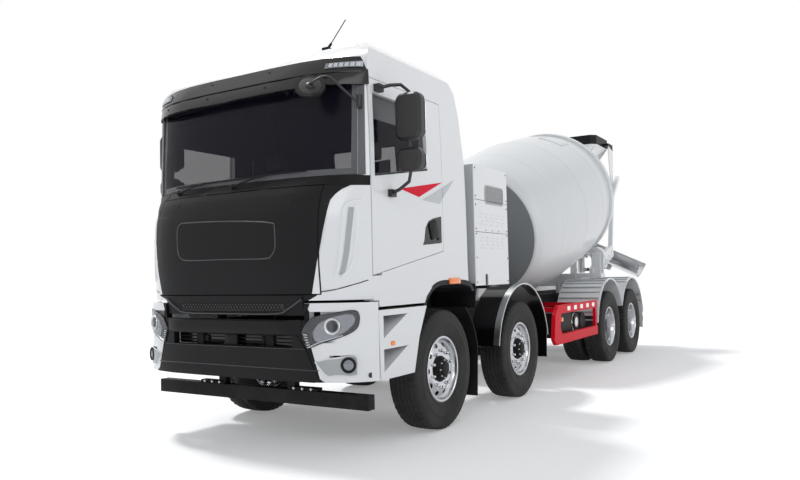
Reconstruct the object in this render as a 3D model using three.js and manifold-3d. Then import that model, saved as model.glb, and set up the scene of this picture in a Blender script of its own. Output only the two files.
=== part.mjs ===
// Concrete mixer truck with four axles: two steered front axles and a twin-tyred rear bogie.
// Millimetres, +Z up, the front looks along -Y, and +X is the truck's left side.
// Heights are measured from the ground. Lengths along Y are measured from the first axle, and the
// whole truck is then shifted so that the origin lies under the middle of its length.
import * as THREE from 'three';
import { mergeVertices } from 'three/addons/utils/BufferGeometryUtils.js';
import Module from 'manifold-3d';

const wasm = await Module();
wasm.setup();

// ---- Clearances -------------------------------------------------------------------------------
const SEAT_GAP = 0.3;
const PANEL_GAP = 5;
const RUNNING_GAP = 6;
const BORE_GAP = 0.2;

// ---- Axles and wheels -------------------------------------------------------------------------
const AXLE_1_Y = 0;
const FRONT_SPREAD = 1850;
const MIDDLE_BASE = 3500;
const BOGIE_SPREAD = 1350;
const AXLE_2_Y = AXLE_1_Y + FRONT_SPREAD;
const AXLE_3_Y = AXLE_2_Y + MIDDLE_BASE;
const AXLE_4_Y = AXLE_3_Y + BOGIE_SPREAD;
const TYRE_RADIUS = 542.5;
const TYRE_WIDTH = 300;
const RIM_RADIUS = 286;
const RIM_FLANGE = 13;
const RIM_WIDTH = 250;
const FRONT_TRACK_HALF = 1030;
const REAR_OUTER_HALF = 1089;
const TWIN_SPACING = 345;
const HUB_HEIGHT = TYRE_RADIUS;
const KINGPIN_X = 890;
const FRONT_SPINDLE_R = 40;
const REAR_SPINDLE_R = 55;
const WHEEL_SIDES = 16;
const SPINDLE_SIDES = 24;

// ---- Chassis frame ----------------------------------------------------------------------------
const RAIL_OUTER_HALF = 430;
const RAIL_FLANGE = 80;
const RAIL_TOP = 1060;
const RAIL_HEIGHT = 290;
const RAIL_PLATE = 10;
const RAIL_FRONT_Y = -1350;
const REAR_OVERHANG = 900;
const RAIL_REAR_Y = AXLE_4_Y + REAR_OVERHANG;
const RAIL_BOTTOM = RAIL_TOP - RAIL_HEIGHT;
const RAIL_INNER_HALF = RAIL_OUTER_HALF - RAIL_FLANGE;
const SPRING_HALF_LENGTH = 720;
const SPRING_THICKNESS = 60;

// ---- Cab --------------------------------------------------------------------------------------
const CAB_HALF = 1200;
const CAB_REAR_Y = 560;
const CAB_CORNER_Y = -1195;
const CAB_FRONT_Y = -1570;
const BUMPER_TO_BADGE_Y = CAB_FRONT_Y;
const SKIRT_BOTTOM = 1162;
const FRONT_BOTTOM = 1262;
const FRONT_MIRROR = [846, -1486, 2873];
const FRONT_MIRROR_AXIS = [0.45, -0.72, 0.53];
const FRONT_MIRROR_R = 118;
const FRONT_MIRROR_HALF_THICKNESS = 11;
const CORNER_WALL = 60;
const CORNER_BOTTOM = 1225;
const FLOOR_BOTTOM = 1420;
const FLOOR_TOP = 1480;
const ROOF_SPLIT = 3010;
const ROOF_TOP = 3440;
const SIDE_WALL = 80;
const BACK_WALL = 60;
const ROOF_WALL = 60;
const BULKHEAD = 150;
const PILLAR_DEPTH = 70;
const REAR_CORNER = 110;
const BELT_Z = 2150;

const DOOR_FRONT_Y = -1190;
const DOOR_REAR_Y = -30;
const DOOR_TOP = 2960;
const SILL_FRONT_Z = 1410;
const SILL_REAR_Z = 1615;
const WINDOW_FRONT_Y = -1140;
const WINDOW_REAR_Y = -300;
const WINDOW_TOP = 2850;
const WINDOW_FRONT_Z = 2200;
const WINDOW_REAR_Z = 2335;

const SCREEN_HALF = 1110;
const SCREEN_BOTTOM = 2195;
const SCREEN_TOP = 2985;
const SCREEN_GLASS = 8;
const SCREEN_FLANGE = 50;
const LID_HALF = 900;
const LID_BOTTOM = 1273;
const LID_TOP = 2115;
const LID_THICKNESS = 40;

// ---- Bumper and steps -------------------------------------------------------------------------
const BUMPER_HALF = 1250;
const BUMPER_FRONT_Y = -1530;
const BUMPER_BOW = 300;
const BUMPER_DEPTH = 60;
const BUMPER_BOTTOM = 607;
const BUMPER_CENTRE_HALF = 770;
const BUMPER_CENTRE_TOP = 1075;
const LOWER_PANEL_HALF = BUMPER_CENTRE_HALF - 10;
const LOWER_PANEL_BOTTOM = 1110;
const BUMPER_CORNER_TOP = 1205;
const BUMPER_REAR_Y = -1206;
const UNDERRUN_HALF = 1164;
const UNDERRUN_FRONT_Y = -1243;
const UNDERRUN_DEPTH = 90;
const UNDERRUN_BOTTOM = 375;
const UNDERRUN_TOP = 489;
const HANGER_THICKNESS = 60;
const CAB_PIVOT = [-1440, 910];
const PIVOT_PIN_R = 20;
const PIVOT_ARM_X = 300;
const STEP_TOP = 1138;
const STEP_BOTTOM = 597;
const STEP_INNER_X = 850;
const STEP_OUTER_X = 1235;
const STEP_FRONT_Y = -1180;

// ---- Drum and its supports --------------------------------------------------------------------
const DRUM_TILT = THREE.MathUtils.degToRad(14);
const DRUM_HEAD_Y = 3180;
const DRUM_HEAD_Z = 1925;
const DRUM_HEAD_R = 900;
const DRUM_R = 1148;
const DRUM_WALL = 12;
const DRUM_SHOULDER = 1500;
const DRUM_PARALLEL = 900;
const RING_START = 2930;
const RING_WIDTH = 110;
const RING_R = 1135;
const SHELL_AT_RING = 1098;
const DRUM_LENGTH = 4250;
const MOUTH_R = 520;
const TRUNNION_R = 150;
const TRUNNION_END = -200;
const DRUM_SIDES = 32;
const ROLLER_R = 120;
const ROLLER_ANGLE = THREE.MathUtils.degToRad(38);
const ROLLER_GAP = 6;

// ---- Hopper, discharge funnel and chute ---------------------------------------------------------
const HOPPER_HALF = 560;
const HOPPER_TOP = 3900;
const HOPPER_LENGTH = 900;
const HOPPER_COLLAR = 170;
const PLATE = 12;
const UPRIGHT_X = 700;
const UPRIGHT = 70;
const CHUTE_AXIS_Y = RAIL_REAR_Y + 300;
const CHUTE_PIVOT_Z = 1960;
const CHUTE_LENGTH = 1200;
const CHUTE_SLOPE = THREE.MathUtils.degToRad(25);
const CHUTE_HALF = 215;
const CHUTE_DEPTH = 190;
const FUNNEL_OUTLET_R = 170;
const FUNNEL_OUTLET_Z = 2090;

const CHUTE_BACK = 200;
const POST_R = 45;
const POST_TOP = 1640;
const HINGE_PIN_R = 20;
const STRUT_FOOT = [95, 1425];
const STRUT_REACH = 640;
const STRUT_DROP = 270;
const STRUT_ROD_R = 14;
const UPRIGHT_LOW = [7450, 1850];
const UPRIGHT_HIGH = [7650, 2782];
const MIRROR_Y = -880;
const BEND_END = [8122, 3190];
const HOPPER_PIN = [7900, 3000];
const HINGE_X = UPRIGHT_X - UPRIGHT / 2 - 10;
const HOPPER_REAR_Y = CHUTE_AXIS_Y + 175;
const HOPPER_FRONT_Y = HOPPER_REAR_Y - HOPPER_LENGTH;
const SPOUT_HALF = 230;
const SPOUT_HIGH = 430;
const SPOUT_LOW = -40;
const SPOUT_STATION = DRUM_LENGTH + 40;
const FUNNEL_HALF = 450;
const FUNNEL_FRONT = [7450, 2400];
const FUNNEL_REAR = [8050, 2850];
const SUBFRAME_TOP = RAIL_TOP + 130;
const BENCH_TOP = 1360;

// ---- Side equipment ---------------------------------------------------------------------------
const BODY_HALF = 1240;
const CABINET_FRONT_Y = 640;
const CABINET_DEPTH = 830;
const CABINET_BOTTOM = 1280;
const CABINET_HEIGHT = 1220;
const GUARD_FRONT_Y = AXLE_2_Y + 960;
const GUARD_REAR_Y = AXLE_3_Y - 750;
const FENDER_R = 735;
const FENDER_PLATE = 12;

// ---- Finishes ---------------------------------------------------------------------------------
const WHITE = { color: 0xe6e9ec, roughness: 0.32, metalness: 0.0 };
const BLACK = { color: 0x1c1d1f, roughness: 0.6, metalness: 0.0 };
const CHASSIS = { color: 0x26282b, roughness: 0.55, metalness: 0.2 };
const RUBBER = { color: 0x151516, roughness: 0.85, metalness: 0.0 };
const CHROME = { color: 0xc9cccf, roughness: 0.15, metalness: 1.0 };
const SILVER = { color: 0x9fa3a6, roughness: 0.35, metalness: 0.8 };
const RED = { color: 0xd41528, roughness: 0.4, metalness: 0.0 };
const GLASS = { color: 0x11161f, roughness: 0.05, metalness: 0.0 };
const TRIM = { color: 0x33363a, roughness: 0.7, metalness: 0.0 };

// ---- Solid helpers ----------------------------------------------------------------------------
function signedVolume(points, triangles) {
  const a = new THREE.Vector3();
  const b = new THREE.Vector3();
  const c = new THREE.Vector3();
  let sum = 0;
  for (let i = 0; i < triangles.length; i += 3) {
    a.fromArray(points, triangles[i] * 3);
    b.fromArray(points, triangles[i + 1] * 3);
    c.fromArray(points, triangles[i + 2] * 3);
    sum += a.dot(b.cross(c));
  }
  return sum;
}

// A closed geometry as a solid, with its faces turned outwards.
function solid(geometry) {
  const bare = geometry.clone();
  bare.deleteAttribute('normal');
  bare.deleteAttribute('uv');
  const merged = mergeVertices(bare, 1e-3);
  const points = merged.attributes.position.array;
  const index = merged.index.array;
  const kept = [];
  for (let i = 0; i < index.length; i += 3) {
    const [a, b, c] = [index[i], index[i + 1], index[i + 2]];
    if (a !== b && b !== c && c !== a) {
      kept.push(a, b, c);
    }
  }
  if (signedVolume(points, kept) < 0) {
    kept.reverse();
  }
  const vertProperties = new Float32Array(points);
  return new wasm.Manifold(new wasm.Mesh({ numProp: 3, vertProperties, triVerts: new Uint32Array(kept) }));
}

function join(...pieces) {
  return pieces.reduce((sum, piece) => sum.add(piece));
}

function cut(body, ...tools) {
  return tools.reduce((rest, tool) => rest.subtract(tool), body);
}

function mirrored(piece) {
  return piece.mirror([1, 0, 0]);
}

function bothSides(piece) {
  return piece.add(mirrored(piece));
}

function block(x0, x1, y0, y1, z0, z1) {
  const geometry = new THREE.BoxGeometry(x1 - x0, y1 - y0, z1 - z0);
  geometry.translate((x0 + x1) / 2, (y0 + y1) / 2, (z0 + z1) / 2);
  return solid(geometry);
}

function outline(points) {
  return new THREE.Shape(points.map(([u, v]) => new THREE.Vector2(u, v)));
}

const AXES_YZX = new THREE.Matrix4().set(0, 0, 1, 0, 1, 0, 0, 0, 0, 1, 0, 0, 0, 0, 0, 1);
const AXES_LATHE_X = new THREE.Matrix4().set(0, 1, 0, 0, 0, 0, 1, 0, 1, 0, 0, 0, 0, 0, 0, 1);
const AXES_XZ = new THREE.Matrix4().set(1, 0, 0, 0, 0, 0, -1, 0, 0, 1, 0, 0, 0, 0, 0, 1);

// An outline in (Y, Z) carried from x0 to x1.
function alongX(shape, x0, x1) {
  const geometry = new THREE.ExtrudeGeometry(shape, { depth: x1 - x0, bevelEnabled: false,
    curveSegments: 6 });
  geometry.applyMatrix4(AXES_YZX);
  geometry.translate(x0, 0, 0);
  return solid(geometry);
}

// An outline in (X, Z) carried from y0 to y1.
function alongY(shape, y0, y1) {
  const geometry = new THREE.ExtrudeGeometry(shape, { depth: y1 - y0, bevelEnabled: false,
    curveSegments: 6 });
  geometry.applyMatrix4(AXES_XZ);
  geometry.translate(0, y1, 0);
  return solid(geometry);
}

// An outline in (X, Y) carried from z0 to z1.
function alongZ(shape, z0, z1) {
  const geometry = new THREE.ExtrudeGeometry(shape, { depth: z1 - z0, bevelEnabled: false,
    curveSegments: 6 });
  geometry.translate(0, 0, z0);
  return solid(geometry);
}

function rodBetween(from, to, radius, sides = 10) {
  const a = new THREE.Vector3(...from);
  const b = new THREE.Vector3(...to);
  const geometry = new THREE.CylinderGeometry(radius, radius, a.distanceTo(b), sides);
  const turn = new THREE.Quaternion().setFromUnitVectors(
    new THREE.Vector3(0, 1, 0),
    b.clone().sub(a).normalize(),
  );
  geometry.applyQuaternion(turn);
  geometry.translate((a.x + b.x) / 2, (a.y + b.y) / 2, (a.z + b.z) / 2);
  return solid(geometry);
}

// A bar of rectangular section between two points that share one X.
function beam(x, from, to, width, depth) {
  const dy = to[0] - from[0];
  const dz = to[1] - from[1];
  const length = Math.hypot(dy, dz);
  const geometry = new THREE.BoxGeometry(width, length, depth);
  geometry.rotateX(Math.atan2(dz, dy));
  geometry.translate(x, (from[0] + to[0]) / 2, (from[1] + to[1]) / 2);
  return solid(geometry);
}

// A tube of round section along a smooth curve.
function tube(points, radius, steps, sides = 8) {
  const path = new THREE.CatmullRomCurve3(points.map((p) => new THREE.Vector3(...p)), false, 'centripetal');
  const section = new THREE.Shape();
  section.absarc(0, 0, radius, 0, Math.PI * 2, false);
  const geometry = new THREE.ExtrudeGeometry(section, {
    steps,
    extrudePath: path,
    bevelEnabled: false,
    curveSegments: sides,
  });
  return solid(geometry);
}

// A profile of [radius, station] turned about the X axis, with a flat towards the ground.
function turnedAboutX(profile, sides) {
  const points = profile.map(([r, x]) => new THREE.Vector2(r, x));
  const geometry = new THREE.LatheGeometry(points, sides, Math.PI / sides);
  geometry.applyMatrix4(AXES_LATHE_X);
  return solid(geometry);
}

// A profile of [radius, station] turned about the Y axis.
function turnedAboutY(profile, sides) {
  const points = profile.map(([r, y]) => new THREE.Vector2(r, y));
  return solid(new THREE.LatheGeometry(points, sides));
}

// A skin over closed rings of equal point count, from the lowest ring to the highest.
function loft(rings) {
  const count = rings[0].length;
  const positions = [];
  const index = [];
  rings.forEach((ring) => ring.forEach((p) => positions.push(...p)));
  for (let k = 0; k + 1 < rings.length; k += 1) {
    for (let i = 0; i < count; i += 1) {
      const j = (i + 1) % count;
      const [a, b] = [k * count + i, k * count + j];
      index.push(a, b, b + count, a, b + count, a + count);
    }
  }
  [0, rings.length - 1].forEach((k) => {
    const ring = rings[k];
    const centre = [0, 1, 2].map((axis) => ring.reduce((sum, p) => sum + p[axis], 0) / count);
    const hub = positions.length / 3;
    positions.push(...centre);
    for (let i = 0; i < count; i += 1) {
      const [a, b] = [k * count + i, k * count + ((i + 1) % count)];
      index.push(...(k === 0 ? [hub, b, a] : [hub, a, b]));
    }
  });
  const geometry = new THREE.BufferGeometry();
  geometry.setAttribute('position', new THREE.Float32BufferAttribute(positions, 3));
  geometry.setIndex(index);
  return solid(geometry);
}

// A folded sheet: an open line in (Y, Z) thickened to one side.
function sheetOutline(line, thickness) {
  const inner = line.map(([y, z], i) => {
    const before = line[Math.max(i - 1, 0)];
    const after = line[Math.min(i + 1, line.length - 1)];
    const length = Math.hypot(after[0] - before[0], after[1] - before[1]);
    const normal = [(after[1] - before[1]) / length, -(after[0] - before[0]) / length];
    return [y + normal[0] * thickness, z + normal[1] * thickness];
  });
  return outline([...line, ...inner.reverse()]);
}

// Points of an arc in (Y, Z). Angles are in degrees from +Y towards +Z.
function arcPoints(centreY, centreZ, radius, fromAngle, toAngle, steps) {
  return Array.from({ length: steps + 1 }, (_, i) => {
    const angle = THREE.MathUtils.degToRad(fromAngle + ((toAngle - fromAngle) * i) / steps);
    return [centreY + radius * Math.cos(angle), centreZ + radius * Math.sin(angle)];
  });
}

function roundedRect(halfWidth, halfHeight, radius) {
  const shape = new THREE.Shape();
  shape.moveTo(-halfWidth + radius, -halfHeight);
  shape.lineTo(halfWidth - radius, -halfHeight);
  shape.absarc(halfWidth - radius, -halfHeight + radius, radius, -Math.PI / 2, 0);
  shape.lineTo(halfWidth, halfHeight - radius);
  shape.absarc(halfWidth - radius, halfHeight - radius, radius, 0, Math.PI / 2);
  shape.lineTo(-halfWidth + radius, halfHeight);
  shape.absarc(-halfWidth + radius, halfHeight - radius, radius, Math.PI / 2, Math.PI);
  shape.lineTo(-halfWidth, -halfHeight + radius);
  shape.absarc(-halfWidth + radius, -halfHeight + radius, radius, Math.PI, Math.PI * 1.5);
  return shape;
}

const truck = new THREE.Group();

function place(parent, name, body, finish) {
  const data = body.getMesh();
  const geometry = new THREE.BufferGeometry();
  geometry.setAttribute('position', new THREE.BufferAttribute(new Float32Array(data.vertProperties), 3));
  geometry.setIndex(new THREE.BufferAttribute(new Uint32Array(data.triVerts), 1));
  geometry.computeVertexNormals();
  const mesh = new THREE.Mesh(geometry, new THREE.MeshStandardMaterial(finish));
  mesh.name = name;
  parent.add(mesh);
  return mesh;
}

const SIDES = [['left', 1], ['right', -1]];

function onSide(sign, piece) {
  return sign > 0 ? piece : mirrored(piece);
}

// ---- Wheels -----------------------------------------------------------------------------------
// Radii of a many-sided ring are given to its flats, so that a wheel stands on one flat.
const FLAT = 1 / Math.cos(Math.PI / WHEEL_SIDES);

function flats(profile) {
  return profile.map(([r, x]) => [r * FLAT, x]);
}

function tyre(centreX) {
  const bead = RIM_RADIUS + SEAT_GAP;
  const beadHalf = RIM_WIDTH / 2 - RIM_FLANGE - SEAT_GAP;
  const half = TYRE_WIDTH / 2;
  const height = TYRE_RADIUS - bead;
  const right = [
    [bead, beadHalf],
    [bead + height * 0.6, half],
    [TYRE_RADIUS, half - 34],
  ];
  const left = right.map(([r, x]) => [r, -x]).reverse();
  const ring = [...right, ...left, right[0]].map(([r, x]) => [r, x + centreX]);
  return turnedAboutX(flats(ring), WHEEL_SIDES);
}

// The outline of a wheel barrel from its outer flange round to the inner one.
function barrelOutside(centreX) {
  const edge = RIM_WIDTH / 2;
  return [
    [RIM_RADIUS + RIM_FLANGE, centreX + edge],
    [RIM_RADIUS, centreX + edge - RIM_FLANGE],
    [RIM_RADIUS, centreX - edge + RIM_FLANGE],
    [RIM_RADIUS + RIM_FLANGE, centreX - edge],
  ];
}

function frontRim() {
  const edge = RIM_WIDTH / 2;
  const disc = 84;
  const hubOut = TYRE_WIDTH / 2;
  const hubIn = -18;
  const hubR = 112;
  const bore = FRONT_SPINDLE_R + BORE_GAP;
  const profile = [
    [0, hubOut],
    [hubR, hubOut],
    [hubR, disc],
    [RIM_RADIUS - 24, disc],
    [RIM_RADIUS - 16, edge],
    ...barrelOutside(0),
    [RIM_RADIUS - 16, -edge],
    [RIM_RADIUS - 36, disc - 24],
    [hubR, disc - 16],
    [hubR, hubIn],
    [bore, hubIn],
    [bore, hubOut - 40],
    [0, hubOut - 40],
  ];
  return turnedAboutX(flats(profile), WHEEL_SIDES);
}

// Both rims of a twin wheel, bolted face to face on one hub.
function twinRims() {
  const edge = RIM_WIDTH / 2;
  const mount = -TWIN_SPACING / 2;
  const bore = REAR_SPINDLE_R + BORE_GAP;
  const hubOut = 20;
  const hubR = 130;
  const profile = [
    [0, hubOut],
    [hubR - 15, hubOut],
    [hubR + 10, mount + 14],
    [RIM_RADIUS - 46, mount + 14],
    [RIM_RADIUS - 16, edge],
    ...barrelOutside(0),
    ...barrelOutside(-TWIN_SPACING),
    [RIM_RADIUS - 16, -TWIN_SPACING - edge],
    [RIM_RADIUS - 46, mount - 20],
    [hubR, mount - 20],
    [hubR, mount - 60],
    [bore, mount - 60],
    [bore, hubOut - 40],
    [0, hubOut - 40],
  ];
  return turnedAboutX(flats(profile), WHEEL_SIDES);
}

function buildWheels() {
  const frontTyre = tyre(0);
  const rim = frontRim();
  const rims = twinRims();
  const innerTyre = tyre(-TWIN_SPACING);
  [[1, AXLE_1_Y], [2, AXLE_2_Y]].forEach(([axle, y]) => {
    SIDES.forEach(([side, sign]) => {
      const wheel = new THREE.Group();
      wheel.position.set(sign * FRONT_TRACK_HALF, y, HUB_HEIGHT);
      truck.add(wheel);
      place(wheel, `front_tyre_${axle}_${side}`, onSide(sign, frontTyre), RUBBER);
      place(wheel, `front_rim_${axle}_${side}`, onSide(sign, rim), CHROME);
    });
  });
  [[1, AXLE_3_Y], [2, AXLE_4_Y]].forEach(([axle, y]) => {
    SIDES.forEach(([side, sign]) => {
      const wheel = new THREE.Group();
      wheel.position.set(sign * REAR_OUTER_HALF, y, HUB_HEIGHT);
      truck.add(wheel);
      place(wheel, `rear_rims_${axle}_${side}`, onSide(sign, rims), SILVER);
      place(wheel, `rear_tyre_${axle}_${side}_outer`, onSide(sign, frontTyre), RUBBER);
      place(wheel, `rear_tyre_${axle}_${side}_inner`, onSide(sign, innerTyre), RUBBER);
    });
  });
}

// ---- Axles ------------------------------------------------------------------------------------
const BOSS_R = 42;
const BOSS_HALF = 62;

function steeringKnuckle() {
  const fork = 40;
  const webX = KINGPIN_X + BOSS_R + 14;
  const flangeX = webX + 45;
  const top = HUB_HEIGHT + BOSS_HALF;
  const bottom = HUB_HEIGHT - BOSS_HALF;
  const upper = block(KINGPIN_X - 45, flangeX, -45, 45, top + SEAT_GAP, top + fork);
  const lower = block(KINGPIN_X - 45, flangeX, -45, 45, bottom - fork, bottom - RUNNING_GAP);
  const web = block(webX, flangeX, -45, 45, bottom - fork, top + fork);
  const backplate = rodBetween([flangeX - 10, 0, HUB_HEIGHT], [flangeX + 12, 0, HUB_HEIGHT], 195, 14);
  const spindleEnd = FRONT_TRACK_HALF + 100;
  const spindle = rodBetween([webX, 0, HUB_HEIGHT], [spindleEnd, 0, HUB_HEIGHT], FRONT_SPINDLE_R,
    SPINDLE_SIDES);
  return join(upper, lower, web, backplate, spindle);
}

function springHeight(y) {
  const rise = RAIL_BOTTOM - 40 - (HUB_HEIGHT + 28 + SPRING_THICKNESS);
  return HUB_HEIGHT + 28 + SPRING_THICKNESS + rise * (y / SPRING_HALF_LENGTH) ** 2;
}

function leafSpring() {
  const steps = 8;
  const line = Array.from({ length: steps + 1 }, (_, i) => {
    const y = SPRING_HALF_LENGTH * (1 - (2 * i) / steps);
    return [y, springHeight(y)];
  });
  return alongX(sheetOutline(line.reverse(), SPRING_THICKNESS), RAIL_INNER_HALF, RAIL_OUTER_HALF);
}

function frontAxle() {
  const h = HUB_HEIGHT;
  const drop = outline([
    [-KINGPIN_X, h - 50], [-RAIL_OUTER_HALF, h - 70], [-RAIL_INNER_HALF + 40, h - 150],
    [RAIL_INNER_HALF - 40, h - 150], [RAIL_OUTER_HALF, h - 70], [KINGPIN_X, h - 50],
    [KINGPIN_X, h + 45], [RAIL_OUTER_HALF + 20, h + 30], [RAIL_INNER_HALF - 20, h + 30],
    [RAIL_INNER_HALF - 90, h - 60], [-RAIL_INNER_HALF + 90, h - 60], [-RAIL_INNER_HALF + 20, h + 30],
    [-RAIL_OUTER_HALF - 20, h + 30], [-KINGPIN_X, h + 45],
  ]);
  const boss = rodBetween([KINGPIN_X, 0, h - BOSS_HALF], [KINGPIN_X, 0, h + BOSS_HALF], BOSS_R, 12);
  const eye = block(
    RAIL_INNER_HALF, RAIL_OUTER_HALF,
    SPRING_HALF_LENGTH - 70, SPRING_HALF_LENGTH,
    RAIL_BOTTOM - 110, RAIL_BOTTOM - SEAT_GAP,
  );
  const rearEye = eye.mirror([0, 1, 0]);
  return join(alongY(drop, -48, 48), bothSides(boss), bothSides(join(leafSpring(), eye, rearEye)));
}

function rearBogie() {
  const h = HUB_HEIGHT;
  const innerFace = REAR_OUTER_HALF - TWIN_SPACING / 2 - 60 - SEAT_GAP;
  const axleAt = (y) => {
    const housing = rodBetween([-innerFace + 90, y, h], [innerFace - 90, y, h], 82, 12);
    const spindle = rodBetween([-REAR_OUTER_HALF + 45, y, h], [REAR_OUTER_HALF - 45, y, h],
      REAR_SPINDLE_R, SPINDLE_SIDES);
    const brake = rodBetween([innerFace - 200, y, h], [innerFace, y, h], 170, 12);
    const bowl = rodBetween([0, y - 210, h], [0, y + 190, h], 190, 10);
    return join(housing, spindle, bothSides(brake), bowl);
  };
  const pivotY = (AXLE_3_Y + AXLE_4_Y) / 2;
  const springHalf = BOGIE_SPREAD / 2 + 60;
  const line = Array.from({ length: 9 }, (_, i) => {
    const y = springHalf * (-1 + i / 4);
    return [pivotY + y, RAIL_BOTTOM - 60 - 130 * (y / springHalf) ** 2];
  });
  const spring = alongX(sheetOutline(line, 90), RAIL_INNER_HALF + 5, RAIL_OUTER_HALF - 5);
  const saddle = block(
    RAIL_INNER_HALF, RAIL_OUTER_HALF, pivotY - 130, pivotY + 130, RAIL_BOTTOM - 150, RAIL_BOTTOM - SEAT_GAP,
  );
  const foot = (y) => block(RAIL_INNER_HALF + 5, RAIL_OUTER_HALF - 5, y - 60, y + 60, h - 20,
    RAIL_BOTTOM - 240);
  const cross = block(-RAIL_OUTER_HALF, RAIL_OUTER_HALF, pivotY - 60, pivotY + 60, RAIL_BOTTOM - 150,
    RAIL_BOTTOM - 90);
  const shaft = rodBetween([0, AXLE_2_Y + 700, h + 40], [0, AXLE_3_Y, h + 10], 48, 10);
  const link = rodBetween([0, AXLE_3_Y, h + 20], [0, AXLE_4_Y, h + 20], 42, 10);
  const springs = bothSides(join(spring, saddle, foot(AXLE_3_Y), foot(AXLE_4_Y)));
  return join(axleAt(AXLE_3_Y), axleAt(AXLE_4_Y), springs, cross, shaft, link);
}

function buildAxles() {
  const knuckle = steeringKnuckle();
  const axle = frontAxle();
  [[1, AXLE_1_Y], [2, AXLE_2_Y]].forEach(([number, y]) => {
    place(truck, `front_axle_${number}`, axle, CHASSIS).position.y = y;
    SIDES.forEach(([side, sign]) => {
      place(truck, `knuckle_${number}_${side}`, onSide(sign, knuckle), CHASSIS).position.y = y;
    });
  });
  place(truck, 'rear_bogie', rearBogie(), CHASSIS);
}

// ---- Chassis ----------------------------------------------------------------------------------
function chassisFrame() {
  const [o, i, t, top, low] = [RAIL_OUTER_HALF, RAIL_INNER_HALF, RAIL_PLATE, RAIL_TOP, RAIL_BOTTOM];
  const channel = outline([
    [o, low], [o, top], [i, top], [i, top - t], [o - t, top - t], [o - t, low + t], [i, low + t], [i, low],
  ]);
  const rail = alongY(channel, RAIL_FRONT_Y, RAIL_REAR_Y);
  const stations = [
    RAIL_FRONT_Y + 200, CABINET_FRONT_Y, AXLE_2_Y - 620, AXLE_2_Y + 620, DRUM_HEAD_Y + 400,
    AXLE_3_Y - 760, (AXLE_3_Y + AXLE_4_Y) / 2, RAIL_REAR_Y - 40,
  ];
  const members = stations.map((y) => block(-o + t / 2, o - t / 2, y - 40, y + 40, low + 80, top - 60));
  const cabRest = block(o - 70, o - 10, CAB_REAR_Y - 120, CAB_REAR_Y - 60, top - 5, FLOOR_BOTTOM - SEAT_GAP);
  return join(bothSides(join(rail, cabRest, firstFlap())), ...members);
}

const ENGINE_FRONT_Y = -950;
const ENGINE_REAR_Y = 540;

function engineBlock() {
  const side = RAIL_INNER_HALF - RUNNING_GAP;
  const body = block(-side, side, ENGINE_FRONT_Y, ENGINE_REAR_Y, HUB_HEIGHT + 150, FLOOR_BOTTOM - 60);
  const mountPad = block(-RAIL_INNER_HALF, RAIL_INNER_HALF, -100, 100, RAIL_TOP + SEAT_GAP, RAIL_TOP + 60);
  const wide = block(-RAIL_OUTER_HALF + 20, RAIL_OUTER_HALF - 20, -100, 100, RAIL_TOP + SEAT_GAP,
    RAIL_TOP + 60);
  return join(body, mountPad, wide);
}

function equipmentCabinet() {
  const rear = CABINET_FRONT_Y + CABINET_DEPTH;
  const box = block(-CAB_HALF, CAB_HALF, CABINET_FRONT_Y, rear, CABINET_BOTTOM,
    CABINET_BOTTOM + CABINET_HEIGHT);
  const bearer = block(
    RAIL_INNER_HALF, RAIL_OUTER_HALF, CABINET_FRONT_Y, rear, RAIL_TOP + SEAT_GAP, CABINET_BOTTOM + 10,
  );
  return join(box, bothSides(bearer));
}

function sideGuard() {
  const shell = outline([
    [GUARD_FRONT_Y + 130, 975], [GUARD_FRONT_Y, 860], [GUARD_FRONT_Y - 60, 560], [GUARD_FRONT_Y + 20, 487],
    [GUARD_REAR_Y, 487], [GUARD_REAR_Y, 608], [GUARD_FRONT_Y + 235, 608], [GUARD_FRONT_Y + 170, 700],
    [GUARD_FRONT_Y + 215, 869], [GUARD_REAR_Y, 869], [GUARD_REAR_Y, 975],
  ]);
  const frame = alongX(shell, BODY_HALF - 50, BODY_HALF);
  const post = block(BODY_HALF - 50, BODY_HALF - 10, GUARD_REAR_Y - 60, GUARD_REAR_Y, 600, 880);
  const arm = (y) => block(RAIL_OUTER_HALF + SEAT_GAP, BODY_HALF - 40, y, y + 50, 885, 945);
  return join(frame, post, arm(GUARD_FRONT_Y + 200), arm(GUARD_REAR_Y - 130));
}

const SIDE_BOX_INNER = RAIL_OUTER_HALF + SEAT_GAP;

function batteryBox() {
  const front = GUARD_FRONT_Y + 330;
  const box = block(SIDE_BOX_INNER, BODY_HALF - 110, front, front + 620, 540, 860);
  const shelf = block(SIDE_BOX_INNER, SIDE_BOX_INNER + 60, front, GUARD_REAR_Y - 160, 790, 850);
  const tank = (y, z) => rodBetween([SIDE_BOX_INNER + 30, y, z], [BODY_HALF - 100, y, z], 125, 14);
  return join(box, shelf, tank(front + 800, 700), tank(front + 1080, 700));
}

function fuelTank() {
  const front = GUARD_FRONT_Y + 300;
  const rear = GUARD_REAR_Y - 200;
  const section = roundedRect((BODY_HALF - 100 - SIDE_BOX_INNER - 40) / 2, 165, 70);
  const tank = alongY(section, front, rear).translate([(BODY_HALF - 100 + SIDE_BOX_INNER + 40) / 2, 0, 700]);
  const strap = (y) => block(SIDE_BOX_INNER, SIDE_BOX_INNER + 120, y, y + 60, 600, 860);
  return join(tank, strap(front + 200), strap(rear - 260));
}

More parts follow.
